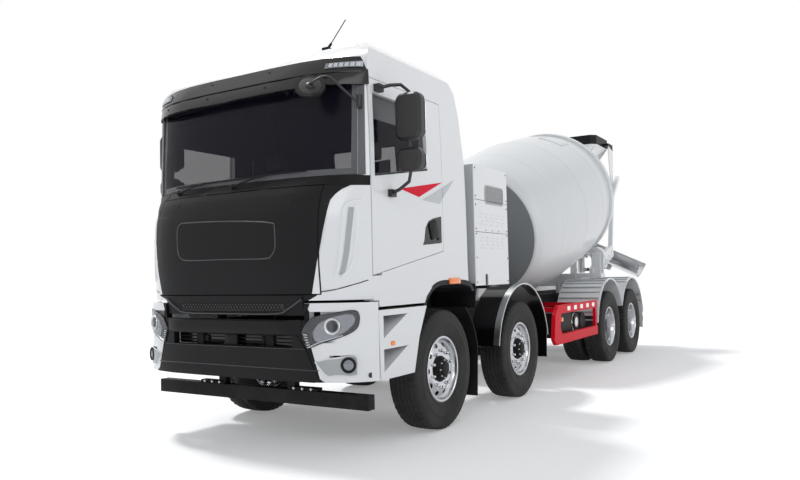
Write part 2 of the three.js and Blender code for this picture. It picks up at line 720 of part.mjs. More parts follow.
function secondFenders() {
  const arc = arcPoints(AXLE_2_Y, HUB_HEIGHT, FENDER_R, 173, 14, 10);
  const flapY = AXLE_2_Y + 700;
  const line = [...arc, [flapY, 620], [flapY - 20, 380]];
  const sheet = alongX(sheetOutline(line, FENDER_PLATE), 870, CAB_HALF + 15);
  const hangerZ = HUB_HEIGHT + FENDER_R - FENDER_PLATE - 30;
  const [front, rear] = [AXLE_2_Y - 20, AXLE_2_Y + 20];
  const arm = block(-CAB_HALF + 40, CAB_HALF - 40, front, rear, hangerZ - 10, hangerZ + 32);
  const foot = block(RAIL_INNER_HALF + 20, RAIL_OUTER_HALF - 10, front, rear, RAIL_TOP + SEAT_GAP, hangerZ);
  return join(arm, bothSides(join(sheet, foot)));
}

function fenderRear() {
  const saddle = Math.acos(BOGIE_SPREAD / 2 / FENDER_R) * THREE.MathUtils.RAD2DEG;
  const first = arcPoints(AXLE_3_Y, HUB_HEIGHT, FENDER_R, 164, saddle, 9);
  const second = arcPoints(AXLE_4_Y, HUB_HEIGHT, FENDER_R, 180 - saddle, 44, 8);
  const rearY = AXLE_4_Y + FENDER_R - 40;
  const line = [...first, ...second.slice(1), [rearY - 60, 980], [rearY, 820], [rearY - 20, 380]];
  const inner = REAR_OUTER_HALF - TWIN_SPACING - TYRE_WIDTH / 2;
  const sheet = alongX(sheetOutline(line, FENDER_PLATE), inner, BODY_HALF + 3);
  const hangerZ = HUB_HEIGHT + FENDER_R - FENDER_PLATE - 30;
  const hanger = (y, footZ) => join(
    block(RAIL_INNER_HALF + 20, BODY_HALF - 40, y - 20, y + 20, hangerZ - 10, hangerZ + 32),
    block(RAIL_INNER_HALF + 20, RAIL_OUTER_HALF - 10, y - 20, y + 20, footZ + SEAT_GAP, hangerZ),
  );
  return join(sheet, hanger(AXLE_3_Y, RAIL_TOP), hanger(AXLE_4_Y, SUBFRAME_TOP));
}

function firstFlap() {
  const arc = arcPoints(AXLE_1_Y, HUB_HEIGHT, FENDER_R - 45, 52, 12, 4);
  const line = [...arc, [AXLE_1_Y + 668, 600], [AXLE_1_Y + 640, 205]];
  const sheet = alongX(sheetOutline(line, FENDER_PLATE), 840, CAB_HALF - 15);
  const arm = block(RAIL_OUTER_HALF - 5, CAB_HALF - 60, AXLE_1_Y + 622, AXLE_1_Y + 656, 790, 830);
  return join(sheet, arm);
}

const TAIL_LAMP_BOTTOM = 640;

function rearBar() {
  const y = RAIL_REAR_Y;
  const bar = block(-1180, 1180, y + 20, y + 90, 470, 570);
  const hanger = block(RAIL_INNER_HALF, RAIL_OUTER_HALF, y + SEAT_GAP, y + 30, 480, RAIL_TOP - 30);
  const lampArm = block(RAIL_OUTER_HALF - 30, 900, y + SEAT_GAP, y + 25, 650, 700);
  const lamp = block(880, 1180, y - 30, y + 60, TAIL_LAMP_BOTTOM, TAIL_LAMP_BOTTOM + 110);
  return join(bar, bothSides(join(hanger, lampArm, lamp)));
}

function buildChassis() {
  place(truck, 'chassis_frame', chassisFrame(), CHASSIS);
  place(truck, 'engine_block', engineBlock(), CHASSIS);
  place(truck, 'equipment_cabinet', equipmentCabinet(), WHITE);
  place(truck, 'battery_box', batteryBox(), BLACK);
  place(truck, 'fuel_tank', mirrored(fuelTank()), SILVER);
  place(truck, 'rear_bar', rearBar(), BLACK);
  place(truck, 'second_fenders', secondFenders(), BLACK);
  SIDES.forEach(([side, sign]) => {
    place(truck, `side_guard_${side}`, onSide(sign, sideGuard()), RED);
    place(truck, `rear_fender_${side}`, onSide(sign, fenderRear()), WHITE);
  });
}

// ---- Bumper and steps -------------------------------------------------------------------------
const BOW_POWER = 5.4;
const BOW_STATIONS = [0, 0.3, 0.55, 0.72, 0.84, 0.92, 0.97, 1];

function bowedLine(half, frontY, bow, power = BOW_POWER) {
  const right = BOW_STATIONS.map((t) => [half * t, frontY + bow * t ** power]);
  const left = right.slice(1).map(([x, y]) => [-x, y]).reverse();
  return [...left, ...right];
}

function frontBumper() {
  const outer = bowedLine(BUMPER_HALF, BUMPER_FRONT_Y, BUMPER_BOW);
  const inner = bowedLine(BUMPER_HALF - 60, BUMPER_FRONT_Y + BUMPER_DEPTH, BUMPER_BOW - BUMPER_DEPTH - 20);
  const rim = outline([
    ...outer, [BUMPER_HALF, BUMPER_REAR_Y], [BUMPER_HALF - 60, BUMPER_REAR_Y],
    ...inner.reverse(), [-BUMPER_HALF + 60, BUMPER_REAR_Y], [-BUMPER_HALF, BUMPER_REAR_Y],
  ]);
  const wall = alongZ(rim, BUMPER_BOTTOM, BUMPER_CORNER_TOP);
  const centreGap = block(
    -BUMPER_CENTRE_HALF, BUMPER_CENTRE_HALF, -2000, 0, BUMPER_CENTRE_TOP, 2000,
  );
  const grille = block(-660, 660, -1700, -1200, 862, 958);
  const lampPocket = block(812, 1166, -1700, BUMPER_FRONT_Y + 100, 905, 1140);
  const fogPocket = block(960, 1150, -1700, BUMPER_FRONT_Y + 170, 690, 810);
  const bracket = block(
    RAIL_INNER_HALF, RAIL_OUTER_HALF, CAB_PIVOT[0] - 38, RAIL_FRONT_Y - SEAT_GAP, RAIL_BOTTOM + 30,
      RAIL_TOP - 20,
  );
  const pin = rodBetween([PIVOT_ARM_X - 10, ...CAB_PIVOT], [RAIL_INNER_HALF + 10, ...CAB_PIVOT],
    PIVOT_PIN_R, 24);
  const underrun = block(-UNDERRUN_HALF, UNDERRUN_HALF, UNDERRUN_FRONT_Y,
    UNDERRUN_FRONT_Y + UNDERRUN_DEPTH, UNDERRUN_BOTTOM, UNDERRUN_TOP);
  const hangerEnd = UNDERRUN_FRONT_Y + UNDERRUN_DEPTH - 10;
  const hanger = join(
    block(RAIL_INNER_HALF, RAIL_OUTER_HALF, BUMPER_FRONT_Y + BUMPER_DEPTH - 10, hangerEnd,
      BUMPER_BOTTOM + 10, BUMPER_BOTTOM + 10 + HANGER_THICKNESS),
    block(RAIL_INNER_HALF, RAIL_OUTER_HALF, hangerEnd - HANGER_THICKNESS, hangerEnd,
      UNDERRUN_TOP - 20, BUMPER_BOTTOM + 20),
  );
  const body = cut(wall, centreGap, grille, bothSides(lampPocket), bothSides(fogPocket));
  return join(body, bothSides(join(bracket, pin, hanger)), underrun);
}

function stepPanel() {
  const side = outline([
    [STEP_FRONT_Y, STEP_TOP], [STEP_FRONT_Y + 20, STEP_BOTTOM], [-650, STEP_BOTTOM], [-560, 880],
      [-425, STEP_TOP],
  ]);
  const body = alongX(side, STEP_INNER_X, STEP_OUTER_X);
  const tread = (z) => block(STEP_INNER_X + 110, STEP_OUTER_X + 10, STEP_FRONT_Y + 70, -720, z, z + 170);
  const arm = block(RAIL_OUTER_HALF + SEAT_GAP, STEP_INNER_X + 5, -1010, -930, 800, 880);
  return join(cut(body, tread(660), tread(920)), arm);
}

function buildBumper() {
  place(truck, 'front_bumper', frontBumper(), WHITE);
  SIDES.forEach(([side, sign]) => {
    place(truck, `step_panel_${side}`, onSide(sign, stepPanel()), WHITE);
  });
}

// ---- Cab --------------------------------------------------------------------------------------
// Each level of the cab: its height, how far its front centre lies behind the foremost point, its
// half width and its back. The front corners stay on one line down both sides.
const CAB_LEVELS = [
  { z: LOWER_PANEL_BOTTOM - 10, back: 60, half: CAB_HALF + 12, rear: CAB_REAR_Y, power: 5.5 },
  { z: SKIRT_BOTTOM, back: 55, half: CAB_HALF + 12, rear: CAB_REAR_Y, power: 5.5 },
  { z: LID_BOTTOM - 12, back: 36, half: CAB_HALF + 8, rear: CAB_REAR_Y, power: 5.5 },
  { z: 1500, back: 5, half: CAB_HALF, rear: CAB_REAR_Y, power: 5.5 },
  { z: 1750, back: 0, half: CAB_HALF, rear: CAB_REAR_Y, power: 5.5 },
  { z: 1900, back: 10, half: CAB_HALF, rear: CAB_REAR_Y - 4, power: 5.3 },
  { z: 2050, back: 50, half: CAB_HALF, rear: CAB_REAR_Y - 8, power: 5 },
  { z: LID_TOP - 9, back: 88, half: CAB_HALF, rear: CAB_REAR_Y - 10, power: 4.6 },
  { z: SCREEN_BOTTOM - 10, back: 145, half: CAB_HALF, rear: CAB_REAR_Y - 12, power: 3.6 },
  { z: 2500, back: 175, half: CAB_HALF - 3, rear: CAB_REAR_Y - 25, power: 3.4 },
  { z: DOOR_TOP - 17, back: 226, half: CAB_HALF - 16, rear: CAB_REAR_Y - 100, power: 3.2 },
  { z: ROOF_SPLIT, back: 240, half: CAB_HALF - 20, rear: CAB_REAR_Y - 120, power: 3.2 },
];
const CROWN_LEVELS = [
  { z: 3134, back: 320, half: CAB_HALF - 28, rear: CAB_REAR_Y - 155, power: 3.2, corner: 20 },
  { z: 3230, back: 410, half: CAB_HALF - 60, rear: CAB_REAR_Y - 200, power: 3, corner: 90 },
  { z: 3320, back: 540, half: CAB_HALF - 170, rear: CAB_REAR_Y - 270, power: 2.8, corner: 220 },
  { z: 3400, back: 760, half: CAB_HALF - 390, rear: CAB_REAR_Y - 420, power: 2.6, corner: 480 },
  { z: ROOF_TOP, back: 1080, half: CAB_HALF - 720, rear: CAB_REAR_Y - 700, power: 2.4, corner: 820 },
];

function cabRing(level, inset, frontInset, backInset, drop = 0) {
  const half = level.half - inset;
  const front = CAB_FRONT_Y + level.back + frontInset;
  const cornerY = CAB_CORNER_Y + (level.corner ?? 0) + frontInset;
  const rear = level.rear - backInset;
  const line = bowedLine(half, front, Math.max(cornerY - front, 20), level.power);
  const soft = REAR_CORNER * 0.3;
  return [
    ...line,
    [half, rear - REAR_CORNER], [half - soft, rear - soft], [half - REAR_CORNER, rear],
    [-half + REAR_CORNER, rear], [-half + soft, rear - soft], [-half, rear - REAR_CORNER],
  ].map(([x, y]) => [x, y, level.z - drop]);
}

function cabOuter(offset = 0) {
  return loft([...CAB_LEVELS, ...CROWN_LEVELS].map((level) => cabRing(level, offset, offset, offset)));
}

function levelAt(z) {
  const above = CAB_LEVELS.findIndex((level) => level.z >= z);
  const [a, b] = [CAB_LEVELS[Math.max(above - 1, 0)], CAB_LEVELS[above]];
  const t = a === b ? 0 : (z - a.z) / (b.z - a.z);
  const mix = (key) => a[key] + (b[key] - a[key]) * t;
  return { z, back: mix('back'), half: mix('half'), rear: mix('rear'), power: mix('power') };
}

function cabInner(gap = 0) {
  const frontInset = (z) => (z < BELT_Z ? BULKHEAD : PILLAR_DEPTH);
  const low = [levelAt(FLOOR_TOP + gap), levelAt(BELT_Z - 20), levelAt(BELT_Z + 40)];
  const rings = low.concat(CAB_LEVELS.filter((level) => level.z > BELT_Z + 40)).map((level) => (
    cabRing(level, SIDE_WALL + gap, frontInset(level.z) + gap, BACK_WALL + gap)
  ));
  const crown = CROWN_LEVELS.map((level) => (
    cabRing(level, ROOF_WALL + gap + 20, PILLAR_DEPTH + gap, BACK_WALL + gap, ROOF_WALL + gap)
  ));
  return loft([...rings, ...crown]);
}

const FAR = 3000;
const PILLAR_REAR_Y = -1130;
const DOOR_INNER_X = CAB_HALF - SIDE_WALL - PANEL_GAP - 3;

function doorOutline(grow) {
  const slope = (SILL_REAR_Z - SILL_FRONT_Z) / (DOOR_REAR_Y - DOOR_FRONT_Y);
  const [front, rear] = [DOOR_FRONT_Y - grow, DOOR_REAR_Y + grow];
  const sillAt = (y) => SILL_FRONT_Z + slope * (y - DOOR_FRONT_Y) - grow;
  return outline([[front, sillAt(front)], [rear, sillAt(rear)], [rear, DOOR_TOP + grow], [front,
    DOOR_TOP + grow]]);
}

function windowOutline() {
  return outline([
    [WINDOW_FRONT_Y, WINDOW_FRONT_Z], [WINDOW_REAR_Y, WINDOW_REAR_Z],
    [WINDOW_REAR_Y, WINDOW_TOP], [WINDOW_FRONT_Y, WINDOW_TOP],
  ]);
}

function frontZone(gap) {
  const z = [0, ROOF_SPLIT - SEAT_GAP / 2];
  return join(
    block(-FAR, FAR, -FAR, DOOR_FRONT_Y - 10 + gap, ...z),
    block(-DOOR_INNER_X - gap, DOOR_INNER_X + gap, -FAR, PILLAR_REAR_Y + gap, ...z),
  );
}

function underbody() {
  const side = CAB_HALF - SIDE_WALL;
  const front = block(-side, side, CAB_FRONT_Y + 115, -1000, 0,
    FLOOR_BOTTOM).intersect(cabOuter(CORNER_WALL));
  return join(front, block(-side, side, -1001, FAR, 0, FLOOR_BOTTOM));
}

function wheelArch() {
  return alongX(outline([
    [-432, 1000], [-415, 1165], [-380, 1215], [-260, 1300], [-110, 1340],
    [350, 1340], [500, 1312], [560, 1250], [620, 1230], [620, 1000],
  ]), -FAR, FAR);
}

function screenBand(depthFrom, depthTo, shrink) {
  const frame = block(-SCREEN_HALF + shrink, SCREEN_HALF - shrink, -FAR, PILLAR_REAR_Y,
    SCREEN_BOTTOM + shrink, SCREEN_TOP - shrink);
  return cabOuter(depthFrom).intersect(frame).subtract(cabOuter(depthTo));
}

function lidSlab(proud, depth, grow) {
  const frame = block(-LID_HALF - grow, LID_HALF + grow, -FAR, DOOR_FRONT_Y - 20, LID_BOTTOM - grow,
    LID_TOP + grow);
  return cabOuter(-proud).intersect(frame).subtract(cabOuter(depth));
}

function cabFront(shell) {
  const zone = shell.intersect(frontZone(0));
  const bumperSpace = cut(
    block(-FAR, FAR, -FAR, PILLAR_REAR_Y + 1, 0, CORNER_BOTTOM),
    block(-LOWER_PANEL_HALF, LOWER_PANEL_HALF, -FAR, PILLAR_REAR_Y + 1, LOWER_PANEL_BOTTOM, FRONT_BOTTOM),
  );
  const opening = block(-SCREEN_HALF + SCREEN_FLANGE, SCREEN_HALF - SCREEN_FLANGE, -FAR, -900,
    SCREEN_BOTTOM + SCREEN_FLANGE, SCREEN_TOP - SCREEN_FLANGE);
  const recess = screenBand(-1, SCREEN_GLASS + SEAT_GAP, 0);
  const lidPocket = lidSlab(PANEL_GAP, LID_THICKNESS + 3 * PANEL_GAP, PANEL_GAP);
  const swingRoom = lidSlab(PANEL_GAP, BULKHEAD - 20, PANEL_GAP).intersect(
    block(-FAR, FAR, -FAR, FAR, LID_TOP - 100, LID_TOP + PANEL_GAP),
  );
  const body = cut(zone, underbody(), bumperSpace, opening, recess, lidPocket, swingRoom);
  const lidLeaf = block(300, 380, CAB_FRONT_Y + 100, CAB_FRONT_Y + 125, LID_TOP + SEAT_GAP,
    LID_TOP + PANEL_GAP + 1);
  const doorLeaf = (z) => block(CAB_HALF - 60, CAB_HALF - 14, DOOR_FRONT_Y - 14,
    DOOR_FRONT_Y - SEAT_GAP, z, z + 70);
  return join(body, frontMirror(), bothSides(join(lidLeaf, doorLeaf(1560), doorLeaf(2080), pivotArm())));
}

// The round mirror that looks down in front of the cab, on an arm clamped to the left pillar.
function frontMirror() {
  const face = (sign) => FRONT_MIRROR.map(
    (value, axis) => value + sign * FRONT_MIRROR_HALF_THICKNESS * FRONT_MIRROR_AXIS[axis],
  );
  const disc = rodBetween(face(-1), face(1), FRONT_MIRROR_R, 28);
  const arm = tube([
    face(0.5), face(3), [950, -1468, 2935], [1010, -1440, 2925], [1080,
      -1380, 2840],
    [1120, -1300, 2780], [1132, -1240, 2766],
  ], 8, 8, 2);
  return join(disc, arm, block(1120, 1146, -1262, -1204, 2716, 2816));
}

// An arm under the cab that carries it on the pivot pins behind the bumper.
function pivotArm() {
  const [y, z] = CAB_PIVOT;
  const plate = alongX(outline([
    [y - 30, z - 25], [y - 10, z - 32], [y + 150, z + 30], [y + 185, z + 75], [y + 185, FLOOR_BOTTOM + 10],
    [y + 110, FLOOR_BOTTOM + 10], [y + 110, z + 100], [y, z + 36], [y - 30, z + 25],
  ]), PIVOT_ARM_X, PIVOT_ARM_X + 30);
  const bore = rodBetween([0, y, z], [FAR, y, z], PIVOT_PIN_R + 2 * BORE_GAP, 24);
  return cut(plate, bore);
}

function cabBody(shell) {
  const lower = shell.intersect(join(
    block(-FAR, FAR, -FAR, FAR, BUMPER_CORNER_TOP + 8, ROOF_SPLIT - SEAT_GAP / 2),
    block(-FAR, FAR, PILLAR_REAR_Y, FAR, SKIRT_BOTTOM, ROOF_SPLIT),
  ));
  const doorway = bothSides(join(
    alongX(doorOutline(PANEL_GAP), DOOR_INNER_X, FAR),
    block(DOOR_INNER_X, FAR, DOOR_FRONT_Y - 40, DOOR_FRONT_Y, SILL_FRONT_Z - PANEL_GAP,
      DOOR_TOP + PANEL_GAP),
    block(DOOR_INNER_X, FAR, DOOR_FRONT_Y - 1, DOOR_FRONT_Y + 120, SILL_FRONT_Z - PANEL_GAP,
      SILL_FRONT_Z + 60),
  ));
  const rearWindow = block(-420, 420, 0, FAR, 2330, 2760);
  return cut(lower, frontZone(SEAT_GAP), doorway, underbody(), wheelArch(), rearWindow);
}

function mirrorArms() {
  const reach = CAB_HALF + 195;
  const front = MIRROR_Y - 45;
  const bracket = (y, z) => block(CAB_HALF - 60, CAB_HALF + 40, y - 35, y + 35, z - 30, z + 30);
  const arm = tube([
    [CAB_HALF + 10, -1080, 2890], [CAB_HALF + 90, -1055, 2905], [reach - 50, front - 5, 2925],
    [reach, front, 2880], [reach, front, 2500], [reach, front, 2170],
    [reach - 50, front + 5, 2115], [CAB_HALF + 90, -950, 2080], [CAB_HALF + 10, -920, 2065],
  ], 15, 12, 3);
  const housing = (halfWidth, halfHeight, z) => {
    const geometry = new THREE.ExtrudeGeometry(roundedRect(halfWidth, halfHeight, 45), {
      depth: 60, bevelEnabled: true, bevelThickness: 22, bevelSize: 22, bevelSegments: 1, curveSegments: 2,
    });
    geometry.applyMatrix4(AXES_XZ);
    geometry.translate(reach, MIRROR_Y, z);
    return solid(geometry);
  };
  return join(arm, bracket(-1080, 2890), bracket(-920, 2065), housing(98, 168, 2668), housing(94, 72, 2320));
}

function door() {
  const frame = alongX(doorOutline(0), DOOR_INNER_X + PANEL_GAP, FAR);
  const slab = cabOuter(0).subtract(cabOuter(SIDE_WALL)).intersect(frame);
  return join(cut(slab, alongX(windowOutline(), 0, FAR)), mirrorArms());
}

function frontLid() {
  return lidSlab(0, LID_THICKNESS, 0);
}

function seats() {
  const z = FLOOR_TOP + SEAT_GAP;
  const bunk = block(-1000, 1000, -180, CAB_REAR_Y - BACK_WALL - 60, z, 1880);
  const seat = join(
    block(420, 720, -700, -200, z, 1720),
    block(330, 810, -780, -170, 1700, 1860),
    block(350, 790, -330, -190, 1850, 2480),
    block(440, 700, -320, -200, 2470, 2640),
  );
  return join(bunk, bothSides(seat));
}

function dashboard() {
  const side = outline([
    [-1500, 2130], [-1500, 1700], [-1250, 1640], [-1010, 1800], [-1000, 1980], [-1120, 2110],
  ]);
  const panel = cabInner(SEAT_GAP).intersect(alongX(side, -1110, 1110));
  const [x, y, z] = [-560, -830, 2040];
  const wheel = new THREE.TorusGeometry(215, 15, 5, 16);
  wheel.rotateX(THREE.MathUtils.degToRad(32));
  wheel.translate(x, y, z);
  const spokes = rodBetween([x - 212, y, z], [x + 212, y, z], 12, 8);
  const column = rodBetween([x, y, z], [x, y - 230, z - 190], 34, 10);
  return join(panel, solid(wheel), spokes, column);
}

// The visor stands off the top of the windscreen and wraps round to the pillars.
function sunVisor() {
  const level = (z, back, half, corner) => ({ z, back, half, rear: CAB_REAR_Y, power: 4.6, corner });
  const levels = [
    level(2902, 128, CAB_HALF - 6, 0),
    level(3005, 150, CAB_HALF - 10, 4),
    level(3136, 225, CAB_HALF - 34, 40),
  ];
  const skin = (t) => loft(levels.map((one) => cabRing(one, t, t, 0)));
  const front = block(-FAR, FAR, -FAR, CAB_CORNER_Y + 6, 0, FAR * 2);
  const blade = skin(0).subtract(skin(18)).intersect(front);
  const stay = (x) => skin(1).intersect(block(x - 16, x + 16, -FAR, CAB_CORNER_Y - 30, 3040, 3075));
  return cut(join(blade, bothSides(join(stay(330), stay(820)))), cabOuter(-SEAT_GAP));
}

function buildCab() {
  const outer = cabOuter(0);
  const shell = outer.subtract(cabInner(0));
  const roof = shell.intersect(block(-FAR, FAR, -FAR, FAR, ROOF_SPLIT + SEAT_GAP / 2, FAR * 2));
  place(truck, 'cab_body', cabBody(shell), WHITE);
  place(truck, 'cab_front', cabFront(shell), WHITE);
  place(truck, 'cab_roof', roof, WHITE);
  place(truck, 'windscreen', screenBand(0, SCREEN_GLASS, SEAT_GAP), GLASS);
  place(truck, 'front_lid', frontLid(), BLACK);
  place(truck, 'sun_visor', sunVisor(), BLACK);
  place(truck, 'seats', seats(), TRIM);
  place(truck, 'dashboard', dashboard(), TRIM);
  SIDES.forEach(([side, sign]) => {
    place(truck, `door_${side}`, onSide(sign, door()), WHITE);
  });
}

// ---- Drum -------------------------------------------------------------------------------------
// A place in the drum's own terms: station along its axis and height above it, at the middle.
function drumPoint(station, height) {
  return [
    DRUM_HEAD_Y + station * Math.cos(DRUM_TILT) - height * Math.sin(DRUM_TILT),
    DRUM_HEAD_Z + station * Math.sin(DRUM_TILT) + height * Math.cos(DRUM_TILT),
  ];
}

function drumShell() {
  const skin = [
    [TRUNNION_R, TRUNNION_END],
    [TRUNNION_R, -62],
    [DRUM_HEAD_R * 0.7, -34],
    [DRUM_HEAD_R, 0],
    [DRUM_HEAD_R + 52, 70],
    [(DRUM_HEAD_R + DRUM_R) / 2 + 30, DRUM_SHOULDER * 0.42],
    [DRUM_R, DRUM_SHOULDER],
    [DRUM_R, DRUM_SHOULDER + DRUM_PARALLEL],
    [SHELL_AT_RING, RING_START],
  ];
  const ringEnd = RING_START + RING_WIDTH;
  const shellAfterRing = SHELL_AT_RING - 22;
  const bore = [
    [MOUTH_R, DRUM_LENGTH],
    [MOUTH_R - DRUM_WALL, DRUM_LENGTH],
    [shellAfterRing - DRUM_WALL * 1.4, ringEnd - 10],
    [SHELL_AT_RING - DRUM_WALL, RING_START],
    [DRUM_R - DRUM_WALL, DRUM_SHOULDER + DRUM_PARALLEL],
    [DRUM_R - DRUM_WALL, DRUM_SHOULDER],
    [(DRUM_HEAD_R + DRUM_R) / 2 + 30 - DRUM_WALL, DRUM_SHOULDER * 0.42],
    [DRUM_HEAD_R - 6, DRUM_WALL + 4],
    [DRUM_HEAD_R * 0.7, -34 + DRUM_WALL],
    [0, -50 + DRUM_WALL],
  ];
  const ring = [[RING_R, RING_START], [RING_R, ringEnd], [shellAfterRing, ringEnd]];
  return turnedAboutY([[0, TRUNNION_END], ...skin, ...ring, ...bore], DRUM_SIDES);
}

function frontPedestal() {
  const seatY = drumPoint(TRUNNION_END, 0);
  const gearbox = turnedAboutY([
    [0, TRUNNION_END - SEAT_GAP], [240, TRUNNION_END - SEAT_GAP], [240, TRUNNION_END - 120],
    [200, TRUNNION_END - 140], [200, TRUNNION_END - 420], [130, TRUNNION_END - 440],
    [130, TRUNNION_END - 560], [0, TRUNNION_END - 560],
  ], 20).rotate([THREE.MathUtils.radToDeg(DRUM_TILT), 0, 0]).translate([0, DRUM_HEAD_Y, DRUM_HEAD_Z]);
  const side = outline([
    [seatY[0] - 560, RAIL_TOP + SEAT_GAP], [seatY[0] + 60, RAIL_TOP + SEAT_GAP],
    [seatY[0] + 60, RAIL_TOP + 120], [seatY[0] - 30, 1560], [seatY[0] - 30, seatY[1] + 60],
    [seatY[0] - 330, seatY[1] - 10], [seatY[0] - 400, 1500],
  ]);
  const wall = alongX(side, RAIL_INNER_HALF - 20, RAIL_INNER_HALF + 10);
  const table = block(-RAIL_INNER_HALF, RAIL_INNER_HALF, seatY[0] - 340, seatY[0] - 60, 1560, 1600);
  const chock = block(-150, 150, seatY[0] - 330, seatY[0] - 80, 1590, seatY[1] - 120);
  const foot = block(RAIL_INNER_HALF, RAIL_OUTER_HALF, seatY[0] - 560, seatY[0] + 60,
    RAIL_TOP + SEAT_GAP, RAIL_TOP + 40);
  const collar = block(-RAIL_INNER_HALF, RAIL_INNER_HALF, seatY[0] - 120, seatY[0] - 60, seatY[1] - 60,
    seatY[1] + 20);
  return join(gearbox, bothSides(join(wall, foot)), table, chock, collar);
}

const DRUM_FLAT = 1 / Math.cos(Math.PI / DRUM_SIDES);

function rollerPlace() {
  const reach = RING_R * DRUM_FLAT + ROLLER_GAP + ROLLER_R;
  const station = RING_START + RING_WIDTH / 2;
  const [y, z] = drumPoint(station, -reach * Math.cos(ROLLER_ANGLE));
  return { x: reach * Math.sin(ROLLER_ANGLE), y, z };
}

function rollerStand() {
  const spot = rollerPlace();
  const lean = [Math.cos(DRUM_TILT), Math.sin(DRUM_TILT)];
  const roller = (half, radius) => rodBetween(
    [spot.x, spot.y - half * lean[0], spot.z - half * lean[1]],
    [spot.x, spot.y + half * lean[0], spot.z + half * lean[1]],
    radius, 12,
  );
  const cheek = (offset) => alongX(outline([
    [spot.y + offset - 12, BENCH_TOP - 20], [spot.y + offset + 12, BENCH_TOP - 20],
    [spot.y + offset + 12, spot.z + 30], [spot.y + offset - 12, spot.z + 30],
  ]), spot.x - 70, spot.x + 70);
  const bench = block(
    -spot.x - 80, spot.x + 80, spot.y - 120, spot.y + 120, BENCH_TOP - 80, BENCH_TOP,
  );
  const plinth = block(
    -RAIL_OUTER_HALF, RAIL_OUTER_HALF, spot.y - 140, spot.y + 140, SUBFRAME_TOP - 40, BENCH_TOP - 20,
  );
  return join(bench, plinth, bothSides(join(roller(48, ROLLER_R), roller(105, 40), cheek(-92), cheek(92))));
}

function rearSupport() {
  const [low, high] = [UPRIGHT_LOW, UPRIGHT_HIGH];
  const frontY = rollerPlace().y;
  const sill = block(
    RAIL_INNER_HALF, RAIL_OUTER_HALF, frontY - 800, RAIL_REAR_Y - 20, RAIL_TOP + SEAT_GAP, SUBFRAME_TOP,
  );
  const slant = beam(UPRIGHT_X, [frontY - 120, BENCH_TOP - 30], [low[0] + 60, low[1] - 70], 60, 230);
  const upright = beam(UPRIGHT_X, low, high, UPRIGHT, UPRIGHT);
  const bend = beam(UPRIGHT_X, [high[0] - 10, high[1] - 20], BEND_END, UPRIGHT, UPRIGHT);
  const pin = rodBetween([HINGE_X - 40, ...HOPPER_PIN], [UPRIGHT_X, ...HOPPER_PIN], HINGE_PIN_R, 24);
  const tailY = RAIL_REAR_Y - 200;
  const tail = block(RAIL_INNER_HALF, RAIL_OUTER_HALF, tailY, tailY + 70, SUBFRAME_TOP - 10, low[1] - 20);
  const tie = block(-UPRIGHT_X - 30, UPRIGHT_X + 30, tailY, tailY + 70, low[1] - 120, low[1] - 20);
  const arm = block(-60, 60, tailY + 20, CHUTE_AXIS_Y + 40, 1290, 1370);
  const drop = block(-60, 60, tailY + 10, tailY + 60, 1290, low[1] - 60);
  const post = rodBetween([0, CHUTE_AXIS_Y, 1360], [0, CHUTE_AXIS_Y, POST_TOP], POST_R, 24);
  return join(rollerStand(), bothSides(join(sill, slant, upright, bend, pin, tail)), tie, arm, drop, post);
}

function buildDrum() {
  const tilt = THREE.MathUtils.radToDeg(DRUM_TILT);
  const drum = drumShell().rotate([tilt, 0, 0]).translate([0, DRUM_HEAD_Y, DRUM_HEAD_Z]);
  place(truck, 'drum', drum, WHITE);
  place(truck, 'drum_pedestal', frontPedestal(), CHASSIS);
  place(truck, 'rear_support', rearSupport(), WHITE);
}

// ---- Hopper and discharge ---------------------------------------------------------------------
// A chamfered rectangle across the truck, between a front and a rear edge given as [Y, Z].
function frameRing(half, front, rear, chamfer) {
  const t = chamfer / Math.hypot(rear[0] - front[0], rear[1] - front[1]);
  const mix = (s) => [front[0] + (rear[0] - front[0]) * s, front[1] + (rear[1] - front[1]) * s];
  const [a, b] = [mix(t), mix(1 - t)];
  return [
    [-half + chamfer, ...front], [half - chamfer, ...front], [half, ...a], [half, ...b],
    [half - chamfer, ...rear], [-half + chamfer, ...rear], [-half, ...b], [-half, ...a],
  ];
}

function hopperSkin(inset, over) {
  const spout = (station, grow) => frameRing(
    SPOUT_HALF - inset, drumPoint(station, SPOUT_HIGH - inset), drumPoint(station, SPOUT_LOW + inset),
      70 - grow,
  );
  const rim = (z) => frameRing(
    HOPPER_HALF - inset, [HOPPER_FRONT_Y + inset, z], [HOPPER_REAR_Y - inset, z], 90,
  );
  return loft([
    spout(SPOUT_STATION - over, 0),
    spout(SPOUT_STATION + 60, 0),
    rim(HOPPER_TOP - HOPPER_COLLAR),
    rim(HOPPER_TOP + over),
  ]);
}

function hopper() {
  const armX = HINGE_X;
  const [pinY, pinZ] = HOPPER_PIN;
  const plate = alongX(outline([
    [pinY - 70, pinZ - 60], [pinY + 60, pinZ - 60], [pinY + 110, HOPPER_TOP - 330],
    [pinY + 110, HOPPER_TOP - 220], [pinY - 190, HOPPER_TOP - 220], [pinY - 190, HOPPER_TOP - 330],
  ]), armX - PLATE, armX);
  const bore = rodBetween([armX - 60, ...HOPPER_PIN], [armX + 60, ...HOPPER_PIN],
    HINGE_PIN_R + 2 * BORE_GAP, 24);
  const stay = block(
    HOPPER_HALF - PLATE / 2, armX, pinY - 190, pinY + 110, HOPPER_TOP - HOPPER_COLLAR + 20, HOPPER_TOP - 100,
  );
  const web = block(armX - PLATE, armX, pinY - 190, pinY + 110, HOPPER_TOP - 230, HOPPER_TOP - 100);
  const shell = hopperSkin(0, 0).subtract(hopperSkin(PLATE, 8));
  return join(shell, bothSides(join(cut(plate, bore), stay, web)));
}

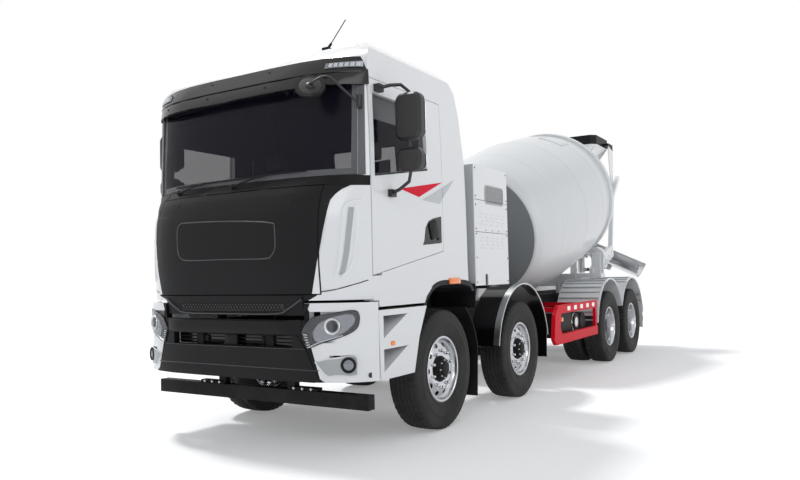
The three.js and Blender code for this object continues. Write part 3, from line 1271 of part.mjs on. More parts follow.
function dischargeFunnel() {
  const rings = (inset, over) => loft([
    frameRing(FUNNEL_OUTLET_R - inset, [CHUTE_AXIS_Y - FUNNEL_OUTLET_R + inset, FUNNEL_OUTLET_Z - over],
      [CHUTE_AXIS_Y + FUNNEL_OUTLET_R - inset, FUNNEL_OUTLET_Z - over], 90),
    frameRing(FUNNEL_OUTLET_R - inset, [CHUTE_AXIS_Y - FUNNEL_OUTLET_R + inset, FUNNEL_OUTLET_Z + 100],
      [CHUTE_AXIS_Y + FUNNEL_OUTLET_R - inset, FUNNEL_OUTLET_Z + 100], 90),
    frameRing(FUNNEL_HALF - inset, [FUNNEL_FRONT[0] + inset, FUNNEL_FRONT[1] + over],
      [FUNNEL_REAR[0] - inset, FUNNEL_REAR[1] + over], 110),
  ]);
  const bracketY = UPRIGHT_LOW[0] + (UPRIGHT_HIGH[0] - UPRIGHT_LOW[0]) * 0.6;
  const bracketZ = UPRIGHT_LOW[1] + (UPRIGHT_HIGH[1] - UPRIGHT_LOW[1]) * 0.6;
  const bracket = block(
    FUNNEL_HALF - 110, UPRIGHT_X - UPRIGHT / 2 - SEAT_GAP,
    bracketY - 20, bracketY + 140, bracketZ - 25, bracketZ + 25,
  );
  const outer = rings(0, 0);
  const inner = rings(PLATE, 8);
  return cut(join(outer, bothSides(bracket)), inner);
}

// The chute lies along +X when it is parked. It turns on the post and tilts on its trunnions.
const CHUTE_PIVOT_X = 60;

function inChuteLine(piece) {
  return piece.rotate([0, THREE.MathUtils.radToDeg(CHUTE_SLOPE), 0])
    .translate([CHUTE_PIVOT_X, CHUTE_AXIS_Y, CHUTE_PIVOT_Z]);
}

function alongChute(x, drop) {
  const [c, s] = [Math.cos(CHUTE_SLOPE), Math.sin(CHUTE_SLOPE)];
  return [CHUTE_PIVOT_X + x * c - drop * s, CHUTE_PIVOT_Z - x * s - drop * c];
}

function chute() {
  const wallTop = 60;
  const outer = arcPoints(0, 0, CHUTE_HALF, 180, 360, 12);
  const inner = arcPoints(0, 0, CHUTE_HALF - 8, 360, 180, 12);
  const section = outline([
    [-CHUTE_HALF, wallTop], ...outer, [CHUTE_HALF, wallTop],
    [CHUTE_HALF - 8, wallTop], ...inner, [-CHUTE_HALF + 8, wallTop],
  ]);
  const trough = alongX(section, -CHUTE_BACK, CHUTE_LENGTH);
  const closure = alongX(outline([...outer, [CHUTE_HALF, 0]]), -CHUTE_BACK, -CHUTE_BACK + 8);
  const hook = block(CHUTE_LENGTH - 60, CHUTE_LENGTH - 20, CHUTE_HALF - 2, CHUTE_HALF + 30, -40, 60);
  const hooks = join(hook, hook.mirror([0, 1, 0]));
  const lug = block(STRUT_REACH - 35, STRUT_REACH + 35, 34, 44, -STRUT_DROP - 25, -CHUTE_HALF + 8);
  const lugs = join(lug, lug.mirror([0, 1, 0]));
  const pin = rodBetween([STRUT_REACH, -44, -STRUT_DROP], [STRUT_REACH, 44, -STRUT_DROP], 9, 12);
  const trunnion = rodBetween([0, CHUTE_HALF - 6, 0], [0, CHUTE_HALF + 34, 0], HINGE_PIN_R, 24);
  const trunnions = join(trunnion, trunnion.mirror([0, 1, 0]));
  return inChuteLine(join(trough, closure, hooks, lugs, pin, trunnions));
}

function chuteBracket() {
  const y = CHUTE_AXIS_Y;
  const sleeve = rodBetween([0, y, 1376], [0, y, POST_TOP + 40], POST_R + 22, 20);
  const bore = rodBetween([0, y, 1300], [0, y, POST_TOP + 5], POST_R + 2 * BORE_GAP, 24);
  const cheekIn = CHUTE_HALF + 14;
  const table = block(-110, CHUTE_PIVOT_X, y - cheekIn - 14, y + cheekIn + 14, POST_TOP + 10, POST_TOP + 38);
  const cheek = (side) => {
    const [a, b] = side > 0 ? [y + cheekIn, y + cheekIn + 14] : [y - cheekIn - 14, y - cheekIn];
    const plate = alongY(outline([
      [-110, POST_TOP + 10], [CHUTE_PIVOT_X, POST_TOP + 10], [CHUTE_PIVOT_X + 50, CHUTE_PIVOT_Z - 30],
      [CHUTE_PIVOT_X + 30, CHUTE_PIVOT_Z + 45], [CHUTE_PIVOT_X - 50, CHUTE_PIVOT_Z + 45],
    ]), a, b);
    const hole = rodBetween([CHUTE_PIVOT_X, a - 10, CHUTE_PIVOT_Z], [CHUTE_PIVOT_X, b + 10, CHUTE_PIVOT_Z],
      HINGE_PIN_R + 2 * BORE_GAP, 24);
    return cut(plate, hole);
  };
  const [px, pz] = STRUT_FOOT;
  const ear = (side) => block(POST_R + 6, px + 30, y + side * 40 - 6, y + side * 40 + 6, pz - 32, pz + 32);
  const earPin = rodBetween([px, y - 44, pz], [px, y + 44, pz], 12, 20);
  return join(cut(sleeve, bore), table, cheek(1), cheek(-1), ear(1), ear(-1), earPin);
}

function strutEnds() {
  const [x0, z0] = STRUT_FOOT;
  const [x1, z1] = alongChute(STRUT_REACH, STRUT_DROP);
  const length = Math.hypot(x1 - x0, z1 - z0);
  const at = (s, side = 0) => [
    x0 + ((x1 - x0) * s) / length - ((z1 - z0) * side) / length,
    CHUTE_AXIS_Y,
    z0 + ((z1 - z0) * s) / length + ((x1 - x0) * side) / length,
  ];
  return { at, length };
}

function strutBarrel() {
  const { at, length } = strutEnds();
  const eye = rodBetween([STRUT_FOOT[0], CHUTE_AXIS_Y - 26, STRUT_FOOT[1]],
    [STRUT_FOOT[0], CHUTE_AXIS_Y + 26, STRUT_FOOT[1]], 24, 20);
  const hole = rodBetween([STRUT_FOOT[0], CHUTE_AXIS_Y - 60, STRUT_FOOT[1]],
    [STRUT_FOOT[0], CHUTE_AXIS_Y + 60, STRUT_FOOT[1]], 12 + 2 * BORE_GAP, 20);
  const body = rodBetween(at(18), at(length * 0.62), 27, 16);
  const bore = rodBetween(at(40), at(length), STRUT_ROD_R + BORE_GAP, 24);
  return cut(join(eye, body), hole, bore);
}

function strutRod() {
  const { at, length } = strutEnds();
  const rod = rodBetween(at(length * 0.42), at(length - 30), STRUT_ROD_R, 20);
  const end = at(length);
  const eye = rodBetween([end[0], CHUTE_AXIS_Y - 22, end[2]], [end[0], CHUTE_AXIS_Y + 22, end[2]], 32, 16);
  const hole = rodBetween([end[0], CHUTE_AXIS_Y - 60, end[2]], [end[0], CHUTE_AXIS_Y + 60, end[2]], 22, 16);
  return cut(join(rod, eye), hole);
}

function buildDischarge() {
  place(truck, 'hopper', hopper(), SILVER);
  place(truck, 'discharge_funnel', dischargeFunnel(), SILVER);
  place(truck, 'chute_bracket', chuteBracket(), BLACK);
  place(truck, 'chute', chute(), SILVER);
  place(truck, 'chute_strut_barrel', strutBarrel(), BLACK);
  place(truck, 'chute_strut_rod', strutRod(), CHROME);
}

buildWheels();
buildAxles();
buildChassis();
buildBumper();
buildCab();
buildDrum();
buildDischarge();

const REAR_END_Y = CHUTE_AXIS_Y + CHUTE_HALF + 44;
truck.position.y = -(BUMPER_TO_BADGE_Y + REAR_END_Y) / 2;
truck.updateMatrixWorld(true);

export default truck;
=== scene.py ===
"""Concrete mixer truck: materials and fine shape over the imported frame.

Lengths inside the helpers are millimetres in the truck's own axes: X to the truck's left, Y from the
cab to the discharge end measured from the first axle, Z up from the ground. place() turns them into
metres in the row frame.
"""
import math
from functools import partial
import bpy
import numpy as np
from mathutils import Matrix, Vector


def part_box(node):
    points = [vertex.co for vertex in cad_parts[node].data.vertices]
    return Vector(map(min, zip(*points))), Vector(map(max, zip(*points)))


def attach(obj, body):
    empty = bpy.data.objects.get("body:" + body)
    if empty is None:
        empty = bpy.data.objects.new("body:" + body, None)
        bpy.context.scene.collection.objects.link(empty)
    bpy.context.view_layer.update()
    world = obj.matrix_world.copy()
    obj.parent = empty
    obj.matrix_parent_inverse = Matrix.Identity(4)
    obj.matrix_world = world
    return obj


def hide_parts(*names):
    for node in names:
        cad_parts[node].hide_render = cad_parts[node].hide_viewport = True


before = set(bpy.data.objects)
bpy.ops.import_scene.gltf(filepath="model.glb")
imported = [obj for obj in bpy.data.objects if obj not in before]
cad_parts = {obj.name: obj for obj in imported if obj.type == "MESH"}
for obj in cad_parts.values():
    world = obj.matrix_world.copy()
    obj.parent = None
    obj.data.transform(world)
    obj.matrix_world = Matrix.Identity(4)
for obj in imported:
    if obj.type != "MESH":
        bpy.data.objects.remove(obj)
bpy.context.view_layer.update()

TAU = 2.0 * math.pi
SIDES = (("left", 1), ("right", -1))
# Directions of a flat piece: the two of its outline, then the one of its thickness.
ON_SIDE = np.array([[0, 1, 0], [0, 0, 1], [1, 0, 0]])
ON_FRONT = np.array([[1, 0, 0], [0, 0, 1], [0, -1, 0]])
ON_REAR = np.array([[1, 0, 0], [0, 0, 1], [0, 1, 0]])


def middle(node):
    """The middle of a CAD node's box, in metres."""
    low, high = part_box(node)
    return (low + high) / 2


SHIFT_Y = middle("front_tyre_1_left").y
AXLES = [
    (middle(name).y - SHIFT_Y) * 1000
    for name in ("front_tyre_1_left", "front_tyre_2_left", "rear_tyre_1_left_outer",
                 "rear_tyre_2_left_outer")
]


def place(points):
    """Millimetres in the truck's axes to metres in the row frame."""
    return np.asarray(points, float) / 1000.0 + np.array([0.0, SHIFT_Y, 0.0])


# ---- Shader helpers ---------------------------------------------------------------------------
def new_group(name, inputs, outputs):
    """An empty shader node group with named sockets, its input node and its output node."""
    tree = bpy.data.node_groups.new(name, "ShaderNodeTree")
    for label, kind, value in inputs:
        socket = tree.interface.new_socket(name=label, in_out="INPUT", socket_type=kind)
        socket.default_value = value
    for label, kind in outputs:
        tree.interface.new_socket(name=label, in_out="OUTPUT", socket_type=kind)
    return tree, tree.nodes.new("NodeGroupInput"), tree.nodes.new("NodeGroupOutput")


def shader_node(tree, kind, **settings):
    """A node with its settings, or its input values where it has no such setting."""
    node = tree.nodes.new(kind)
    for key, value in settings.items():
        if key in node.bl_rna.properties:
            setattr(node, key, value)
        else:
            node.inputs[key.replace("_", " ")].default_value = value
    return node


def math_node(tree, operation, a, b=None, clamp=False):
    """The result of one Math node. a and b are numbers or sockets."""
    node = tree.nodes.new("ShaderNodeMath")
    node.operation = operation
    node.use_clamp = clamp
    for socket, value in zip(node.inputs, (a, b)):
        if value is None:
            continue
        if isinstance(value, (int, float)):
            socket.default_value = value
        else:
            tree.links.new(value, socket)
    return node.outputs[0]


def mix_colour(tree, factor, a, b):
    """The colour between a and b. Each input is a value or a socket."""
    node = tree.nodes.new("ShaderNodeMix")
    node.data_type = "RGBA"
    for socket, value in ((node.inputs[0], factor), (node.inputs[6], a), (node.inputs[7], b)):
        if isinstance(value, (int, float, tuple)):
            socket.default_value = value
        else:
            tree.links.new(value, socket)
    return node.outputs[2]


def build_dust_group():
    """Road dust: thicker low down and in broken patches. Gives a colour and a roughness."""
    tree, given, out = new_group(
        "RoadDust",
        [("Color", "NodeSocketColor", (1, 1, 1, 1)), ("Roughness", "NodeSocketFloat", 0.4),
         ("Amount", "NodeSocketFloat", 0.3), ("Height", "NodeSocketFloat", 1.2)],
        [("Color", "NodeSocketColor"), ("Roughness", "NodeSocketFloat")],
    )
    coordinates = tree.nodes.new("ShaderNodeTexCoord").outputs["Object"]
    split = tree.nodes.new("ShaderNodeSeparateXYZ")
    tree.links.new(coordinates, split.inputs[0])
    noise = shader_node(tree, "ShaderNodeTexNoise", Scale=2.3, Detail=8.0, Roughness=0.62)
    tree.links.new(coordinates, noise.inputs["Vector"])
    low = math_node(tree, "DIVIDE", split.outputs[2], given.outputs["Height"])
    low = math_node(tree, "SUBTRACT", 1.0, low, clamp=True)
    patch = math_node(tree, "SUBTRACT", noise.outputs["Fac"], 0.38, clamp=True)
    patch = math_node(tree, "MULTIPLY", patch, 2.6, clamp=True)
    level = math_node(tree, "MULTIPLY", math_node(tree, "MULTIPLY", low, patch), given.outputs["Amount"],
                      clamp=True)
    tree.links.new(mix_colour(tree, level, given.outputs["Color"], (0.30, 0.28, 0.25, 1)),
                   out.inputs["Color"])
    rough = math_node(tree, "ADD", given.outputs["Roughness"], math_node(tree, "MULTIPLY", level, 0.4),
                      clamp=True)
    tree.links.new(rough, out.inputs["Roughness"])
    return tree


def build_wear_group():
    """Rubbed edges: the surface lightens where it turns sharply outwards."""
    tree, given, out = new_group(
        "EdgeWear",
        [("Color", "NodeSocketColor", (1, 1, 1, 1)), ("Worn", "NodeSocketColor", (0.6, 0.6, 0.6, 1)),
         ("Amount", "NodeSocketFloat", 0.3)],
        [("Color", "NodeSocketColor")],
    )
    geometry = tree.nodes.new("ShaderNodeNewGeometry")
    coordinates = tree.nodes.new("ShaderNodeTexCoord").outputs["Object"]
    noise = shader_node(tree, "ShaderNodeTexNoise", Scale=22.0, Detail=5.0)
    tree.links.new(coordinates, noise.inputs["Vector"])
    edge = math_node(tree, "SUBTRACT", geometry.outputs["Pointiness"], 0.53, clamp=True)
    edge = math_node(tree, "MULTIPLY", edge, 9.0, clamp=True)
    edge = math_node(tree, "MULTIPLY", edge, noise.outputs["Fac"], clamp=True)
    edge = math_node(tree, "MULTIPLY", edge, given.outputs["Amount"], clamp=True)
    tree.links.new(mix_colour(tree, edge, given.outputs["Color"], given.outputs["Worn"]),
                   out.inputs["Color"])
    return tree


def build_grain_group():
    """Fine surface grain, as a bump height and a small change of colour."""
    tree, given, out = new_group(
        "Grain",
        [("Color", "NodeSocketColor", (1, 1, 1, 1)), ("Scale", "NodeSocketFloat", 400.0),
         ("Change", "NodeSocketFloat", 0.1)],
        [("Color", "NodeSocketColor"), ("Height", "NodeSocketFloat")],
    )
    coordinates = tree.nodes.new("ShaderNodeTexCoord").outputs["Object"]
    fine = shader_node(tree, "ShaderNodeTexNoise", Detail=3.0)
    broad = shader_node(tree, "ShaderNodeTexNoise", Scale=3.0, Detail=6.0)
    tree.links.new(given.outputs["Scale"], fine.inputs["Scale"])
    for node in (fine, broad):
        tree.links.new(coordinates, node.inputs["Vector"])
    both = math_node(tree, "ADD", math_node(tree, "MULTIPLY", fine.outputs["Fac"], 0.5),
                     math_node(tree, "MULTIPLY", broad.outputs["Fac"], 0.5))
    level = math_node(tree, "MULTIPLY", math_node(tree, "SUBTRACT", both, 0.5), given.outputs["Change"])
    level = math_node(tree, "ADD", level, 1.0)
    scaled = tree.nodes.new("ShaderNodeVectorMath")
    scaled.operation = "SCALE"
    tree.links.new(given.outputs["Color"], scaled.inputs[0])
    tree.links.new(level, scaled.inputs["Scale"])
    tree.links.new(scaled.outputs[0], out.inputs["Color"])
    tree.links.new(fine.outputs["Fac"], out.inputs["Height"])
    return tree


DUST, WEAR, GRAIN = build_dust_group(), build_wear_group(), build_grain_group()


def material(name, colour, rough, metal=0.0, coat=0.0, dust=0.0, dust_top=1.3, worn=None, wear=0.0,
             grain=300.0, change=0.12, bump=0.05, alpha=1.0, glow=0.0, shine=0.5):
    """One surface: base colour with grain, then worn edges, then road dust."""
    made = bpy.data.materials.new(name)
    made.use_nodes = True
    tree = made.node_tree
    surface = tree.nodes["Principled BSDF"]
    rgba = (*colour, 1.0)
    made.diffuse_color = rgba
    grained = tree.nodes.new("ShaderNodeGroup")
    grained.node_tree = GRAIN
    grained.inputs["Color"].default_value = rgba
    grained.inputs["Scale"].default_value = grain
    grained.inputs["Change"].default_value = change
    shade = grained.outputs["Color"]
    if wear:
        edges = tree.nodes.new("ShaderNodeGroup")
        edges.node_tree = WEAR
        tree.links.new(shade, edges.inputs["Color"])
        edges.inputs["Worn"].default_value = (*(worn or (0.5, 0.5, 0.5)), 1.0)
        edges.inputs["Amount"].default_value = wear
        shade = edges.outputs["Color"]
    if dust:
        dusty = tree.nodes.new("ShaderNodeGroup")
        dusty.node_tree = DUST
        tree.links.new(shade, dusty.inputs["Color"])
        dusty.inputs["Roughness"].default_value = rough
        dusty.inputs["Amount"].default_value = dust
        dusty.inputs["Height"].default_value = dust_top
        shade = dusty.outputs["Color"]
        tree.links.new(dusty.outputs["Roughness"], surface.inputs["Roughness"])
    else:
        surface.inputs["Roughness"].default_value = rough
    tree.links.new(shade, surface.inputs["Base Color"])
    surface.inputs["Metallic"].default_value = metal
    surface.inputs["Coat Weight"].default_value = coat
    surface.inputs["Coat Roughness"].default_value = 0.04
    surface.inputs["Alpha"].default_value = alpha
    surface.inputs["Specular IOR Level"].default_value = shine
    if glow:
        surface.inputs["Emission Color"].default_value = rgba
        surface.inputs["Emission Strength"].default_value = glow
    if bump:
        relief = tree.nodes.new("ShaderNodeBump")
        relief.inputs["Strength"].default_value = bump
        relief.inputs["Distance"].default_value = 0.002
        tree.links.new(grained.outputs["Height"], relief.inputs["Height"])
        tree.links.new(relief.outputs["Normal"], surface.inputs["Normal"])
    return made


WHITE = material("WhitePaint", (0.80, 0.81, 0.82), 0.28, coat=0.6, dust=0.22, dust_top=1.0, change=0.03,
                 bump=0.012)
DRUM_WHITE = material("DrumPaint", (0.72, 0.735, 0.74), 0.42, coat=0.25, dust=0.1, change=0.06, bump=0.05,
                      grain=60.0)
# Dark grey for the drum's front head: painted shade, as the head faces forward and down, away from the
# light.
HEAD_SHADE_GREY = material("DrumHeadPaintedShade", (0.20, 0.215, 0.22), 0.5, change=0.12, bump=0.1, grain=90.0)
BLACK = material("BlackPlastic", (0.0125, 0.0125, 0.0135), 0.44, dust=0.05, change=0.25, bump=0.2,
                 grain=900.0,
                 worn=(0.12, 0.12, 0.12), wear=0.12, shine=0.12)
HOUSING = material("HousingPlastic", (0.024, 0.024, 0.025), 0.36, dust=0.05, change=0.25, bump=0.15,
                   grain=900.0,
                   worn=(0.15, 0.15, 0.15), wear=0.15, shine=0.4)
# A black a little lighter than the black plastic: a painted highlight on raised lines, folds and creases,
# where light would catch their edges.
EDGE_HIGHLIGHT_BLACK = material("BlackEdgeHighlight", (0.036, 0.036, 0.038), 0.34, coat=0.2, change=0.2, bump=0.05, grain=500.0)
GLOSS_BLACK = material("GlossBlack", (0.005, 0.005, 0.006), 0.16, coat=0.15, change=0.1, bump=0.01,
                       shine=0.35)
CHASSIS = material("ChassisPaint", (0.009, 0.009, 0.01), 0.46, dust=0.12, dust_top=1.2, change=0.2,
                   bump=0.12,
                   worn=(0.2, 0.2, 0.2), wear=0.15, grain=200.0, shine=0.08)
RUBBER = material("TyreRubber", (0.024, 0.024, 0.0245), 0.74, dust=0.22, dust_top=1.4, change=0.3, bump=0.3,
                  grain=500.0, shine=0.25)
FLAP = material("FlapRubber", (0.009, 0.009, 0.01), 0.6, dust=0.2, change=0.3, bump=0.2, grain=150.0,
                shine=0.1)
CHROME = material("PolishedAlloy", (0.52, 0.53, 0.55), 0.17, metal=1.0, change=0.5, bump=0.04, grain=120.0)
SATIN = material("SatinAlloy", (0.62, 0.63, 0.64), 0.28, metal=1.0, change=0.1, bump=0.05, dust=0.15)
STEEL = material("ZincSteel", (0.46, 0.47, 0.48), 0.42, metal=0.9, change=0.2, bump=0.1, dust=0.2)
GREY = material("GreyPaint", (0.40, 0.42, 0.43), 0.42, dust=0.25, change=0.1, bump=0.06, coat=0.2)
RED = material("RedPaint", (0.74, 0.003, 0.02), 0.42, dust=0.03, change=0.08, bump=0.02, shine=0.1)
AMBER = material("AmberLens", (0.85, 0.20, 0.015), 0.18, coat=0.6, change=0.08, bump=0.03, glow=0.12)
GREY_BOWL = material("LampBowl", (0.24, 0.25, 0.27), 0.2, metal=0.9, change=0.05, bump=0.04, grain=80.0)
LENS = material("ClearLens", (0.5, 0.53, 0.56), 0.05, coat=0.8, change=0.02, bump=0.0, alpha=0.07)
LAMP = material("LampReflector", (0.20, 0.21, 0.23), 0.18, metal=1.0, change=0.05, bump=0.04, grain=80.0)
WHITE_LAMP = material("LampElement", (0.62, 0.64, 0.67), 0.25, change=0.02, bump=0.02)
RED_LENS = material("RedLens", (0.5, 0.01, 0.01), 0.2, coat=0.6, change=0.1, bump=0.03)
TRIM = material("CabTrim", (0.03, 0.03, 0.034), 0.7, change=0.25, bump=0.3, grain=400.0)
CLOTH = material("PadCloth", (0.05, 0.052, 0.06), 0.85, change=0.4, bump=0.5, grain=700.0)
MIRROR = material("MirrorGlass", (0.75, 0.78, 0.8), 0.03, metal=1.0, change=0.01, bump=0.0)
TINT = material("TintedGlass", (0.010, 0.009, 0.020), 0.03, change=0.02, bump=0.0, alpha=0.38,
                shine=0.2)
PILLAR = material("PillarTrim", (0.075, 0.077, 0.082), 0.3, metal=0.85, change=0.1, bump=0.03)
STRIPE_GREY = material("StripeGrey", (0.52, 0.54, 0.56), 0.3, coat=0.5, change=0.02, bump=0.01)
STRIPE_RED = material("StripeRed", (0.74, 0.003, 0.03), 0.4, change=0.02, bump=0.01, shine=0.12)
# White reflector squares with a slight glow: the glow is painted light, as the squares are no lamps.
GLOWING_REFLECTOR = material("ReflectorWhiteGlow", (0.9, 0.9, 0.9), 0.25, change=0.05, bump=0.05, glow=0.15)


# ---- Mesh helpers -----------------------------------------------------------------------------
def piece(name, points, faces, body, look, slot_name, smooth=35.0):
    """A mesh object made at once from its points and its faces of three or four corners."""
    mesh = bpy.data.meshes.new(name)
    mesh.from_pydata(place(points).tolist(), [], faces if isinstance(faces, list) else faces.tolist())
    mesh.update()
    mesh.validate()
    mesh.shade_smooth()
    mesh.set_sharp_from_angle(angle=math.radians(smooth))
    made = bpy.data.objects.new(name, mesh)
    bpy.context.scene.collection.objects.link(made)
    mesh.materials.append(look)
    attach(made, body)
    return made


def grid_faces(rows, columns, wrap_rows=False, wrap_columns=False, start=0):
    """Quads of a grid of points stored row by row."""
    r = np.arange(rows if wrap_rows else rows - 1)
    c = np.arange(columns if wrap_columns else columns - 1)
    a, b = np.meshgrid(r, c, indexing="ij")
    a2, b2 = (a + 1) % rows, (b + 1) % columns
    quads = np.stack([a * columns + b, a2 * columns + b, a2 * columns + b2, a * columns + b2], -1)
    return quads.reshape(-1, 4) + start


def facing_out(points, faces):
    """The same faces, turned over if the closed shape they make has a negative volume."""
    tris = np.asarray([f[:3] for f in faces])
    rest = np.asarray([[f[0], f[2], f[3]] for f in faces if len(f) == 4]).reshape(-1, 3)
    tris = np.concatenate([tris, rest])
    p = np.asarray(points)[tris]
    volume = np.einsum("ij,ij->i", p[:, 0], np.cross(p[:, 1], p[:, 2])).sum()
    return [list(f)[::-1] for f in faces] if volume < 0 else [list(f) for f in faces]


def merged(parts):
    """Several (points, faces) shapes as one."""
    points, faces, start = [], [], 0
    for p, f in parts:
        points.append(np.asarray(p, float))
        faces += [[i + start for i in face] for face in f]
        start += len(p)
    return np.concatenate(points), faces


def tube_shape(rings, closed=False):
    """Rings of equal point count joined side by side. The ends are closed with a fan."""
    rings = np.asarray(rings, float)
    n, m = rings.shape[:2]
    faces = grid_faces(n, m, wrap_rows=closed, wrap_columns=True).tolist()
    points = rings.reshape(-1, 3)
    if not closed:
        hubs = np.stack([rings[0].mean(0), rings[-1].mean(0)])
        points = np.concatenate([points, hubs])
        k = np.arange(m)
        first = np.stack([np.full(m, n * m), k, (k + 1) % m], -1)
        last = np.stack([np.full(m, n * m + 1), (n - 1) * m + (k + 1) % m, (n - 1) * m + k], -1)
        faces += first.tolist() + last.tolist()
    return points, facing_out(points, faces)


def frame_of(direction):
    """Two unit vectors at right angles to a direction."""
    d = np.asarray(direction, float)
    d = d / np.linalg.norm(d)
    helper = np.array([0.0, 0.0, 1.0]) if abs(d[2]) < 0.9 else np.array([1.0, 0.0, 0.0])
    a = np.cross(helper, d)
    a /= np.linalg.norm(a)
    return a, np.cross(d, a), d


def turned(profile, centre, axis, sides=48):
    """A profile of (radius, station) turned about an axis through centre. It starts and ends on the axis,
    or closes on itself."""
    a, b, d = frame_of(axis)
    profile = np.asarray(profile, float)
    closed = bool(np.allclose(profile[0], profile[-1]))
    if closed:
        profile = profile[:-1]
    angle = np.arange(sides) / sides * TAU
    ring = np.cos(angle)[:, None] * a + np.sin(angle)[:, None] * b
    points = np.asarray(centre, float) + profile[:, None, :1] * ring[None] + profile[:, None, 1:] * d
    if closed:
        return tube_shape(points, closed=True)
    return tube_shape(points[1:-1] if profile[0, 0] == 0 and profile[-1, 0] == 0 else points)


def rod(a, b, radius, sides=14, soft=0.12):
    """A round rod between two points, its ends slightly rounded."""
    a, b = np.asarray(a, float), np.asarray(b, float)
    length = np.linalg.norm(b - a)
    s = min(radius * soft, length * 0.2)
    profile = [(0, 0), (radius - s, 0), (radius, s), (radius, length - s), (radius - s, length), (0, length)]
    return turned(profile, a, b - a, sides)


def swept(path, radius, sides=10):
    """A round section of one radius carried along a smooth curve through the given points."""
    path = spline(path, 8)
    step = np.gradient(path, axis=0)
    step /= np.linalg.norm(step, axis=1)[:, None]
    a, _, _ = frame_of(step[0])
    angle = np.arange(sides) / sides * TAU
    rings = []
    for p, d in zip(path, step):
        a = a - d * np.dot(a, d)
        a /= np.linalg.norm(a)
        b = np.cross(d, a)
        rings.append(p + radius * (np.cos(angle)[:, None] * a + np.sin(angle)[:, None] * b))
    return tube_shape(rings)


def spline(points, steps):
    """A smooth curve through the points: a uniform Catmull-Rom cubic of each four neighbours, the ends
    carried on straight."""
    p = np.asarray(points, float)
    if len(p) == 2:
        return p
    ends = np.concatenate([[2 * p[0] - p[1]], p, [2 * p[-1] - p[-2]]])
    t = np.arange(steps) / steps
    out = []
    for i in range(1, len(ends) - 2):
        p0, p1, p2, p3 = ends[i - 1:i + 3]
        q = t[:, None]
        out.append(0.5 * (2 * p1 + (p2 - p0) * q + (2 * p0 - 5 * p1 + 4 * p2 - p3) * q ** 2
                          + (3 * p1 - p0 - 3 * p2 + p3) * q ** 3))
    return np.concatenate(out + [p[-1:]])


def rounded_outline(half_u, half_v, radius, steps=4):
    """A rectangle's outline with round corners, centred on the origin."""
    radius = min(radius, half_u * 0.999, half_v * 0.999)
    quarter = np.linspace(0, math.pi / 2, steps + 1)
    corners = []
    for k, (su, sv) in enumerate(((1, 1), (-1, 1), (-1, -1), (1, -1))):
        angle = quarter + k * math.pi / 2
        corners.append(np.stack([su * (half_u - radius) + radius * np.cos(angle),
                                 sv * (half_v - radius) + radius * np.sin(angle)], -1))
    return np.concatenate(corners)


def pad_shape(centre, half, radius=6.0, corner=None, axes=None, steps=4):
    """A block with round corners and softened edges. half is (u, v, w); the outline lies in u and v."""
    u, v, w = half
    axes = np.eye(3) if axes is None else np.asarray(axes, float)
    corner = min(u, v) * 0.3 if corner is None else corner
    soft = min(radius, w * 0.9, u * 0.45, v * 0.45)
    levels = []
    for angle in np.linspace(0, math.pi / 2, 3):
        levels.append((soft * (1 - math.sin(angle)), w - soft * (1 - math.cos(angle))))
    levels = sorted(levels + [(i, -h) for i, h in levels], key=lambda pair: pair[1])
    rings = []
    for inset, height in levels:
        line = rounded_outline(u - inset, v - inset, max(corner - inset, 0.5), steps)
        local = np.column_stack([line, np.full(len(line), height)])
        rings.append(np.asarray(centre, float) + local @ axes)
    return tube_shape(rings)


def slab_shape(outer, inner):
    """A thin closed sheet between two grids of points of the same size."""
    outer, inner = np.asarray(outer, float), np.asarray(inner, float)
    n, m = outer.shape[:2]
    count = n * m
    top = grid_faces(n, m)
    bottom = grid_faces(n, m, start=count)[:, ::-1]
    i = np.arange(n * m).reshape(n, m)
    loop = np.concatenate([i[0, :-1], i[:-1, -1], i[-1, :0:-1], i[:0:-1, 0]])
    nxt = np.roll(loop, -1)
    walls = np.stack([loop, loop + count, nxt + count, nxt], -1)
    points = np.concatenate([outer.reshape(-1, 3), inner.reshape(-1, 3)])
    faces = np.concatenate([top, bottom, walls]).tolist()
    return points, facing_out(points, faces)


def prism_shape(outline, axis, low, high):
    """A flat outline carried straight along X, Y or Z. The outline gives the other two in order."""
    outline = np.asarray(outline, float)
    order = {"x": (1, 2, 0), "y": (0, 2, 1), "z": (0, 1, 2)}[axis]
    rings = []
    for value in (low, high):
        ring = np.zeros((len(outline), 3))
        ring[:, order[0]] = outline[:, 0]
        ring[:, order[1]] = outline[:, 1]
        ring[:, order[2]] = value
        rings.append(ring)
    return tube_shape(rings)


def flipped(shape):
    """The mirror image of a shape on the truck's other side."""
    points, faces = shape
    return points * np.array([-1.0, 1.0, 1.0]), [f[::-1] for f in faces]


def both_sides(shape):
    """A shape and its mirror image as one."""
    return merged([shape, flipped(shape)])


def put_on(side_name, label, shape, look, slot_name, body="chassis", smooth=35.0):
    """One side's copy of a piece that is drawn on the left."""
    shape = shape if side_name == "left" else flipped(shape)
    return piece(f"{label}_{side_name}", *shape, body, look, slot_name, smooth)


def soften(node, look, width=0.004, angle=32.0, segments=2):
    """A CAD node keeps its shape and gets a material, merged corners, a small bevel and smooth shading."""
    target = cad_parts[node]
    target.data.materials.clear()
    target.data.materials.append(look)
    target.data.shade_smooth()
    weld = target.modifiers.new("Weld", "WELD")
    weld.merge_threshold = 0.00002
    flat = target.modifiers.new("Planar", "DECIMATE")
    flat.decimate_type = "DISSOLVE"
    flat.angle_limit = math.radians(0.6)
    flat.delimit = {"MATERIAL", "SHARP"}
    if width:
        bevel = target.modifiers.new("Bevel", "BEVEL")
        bevel.width = width
        bevel.segments = segments
        bevel.limit_method = "ANGLE"
        bevel.angle_limit = math.radians(angle)
        bevel.use_clamp_overlap = True
        bevel.harden_normals = False
    even = target.modifiers.new("Normals", "WEIGHTED_NORMAL")
    even.keep_sharp = True
    even.weight = 80


# ---- Wheels -----------------------------------------------------------------------------------
TYRE_R = 542.5
BOLTS = 10
NUT_CIRCLE = 167.5
FRONT_TRACK_HALF = 1030.0
REAR_TRACK_HALF = 1089.0
TWIN_SPACING = 345.0
TREAD_DEPTH = 13.0


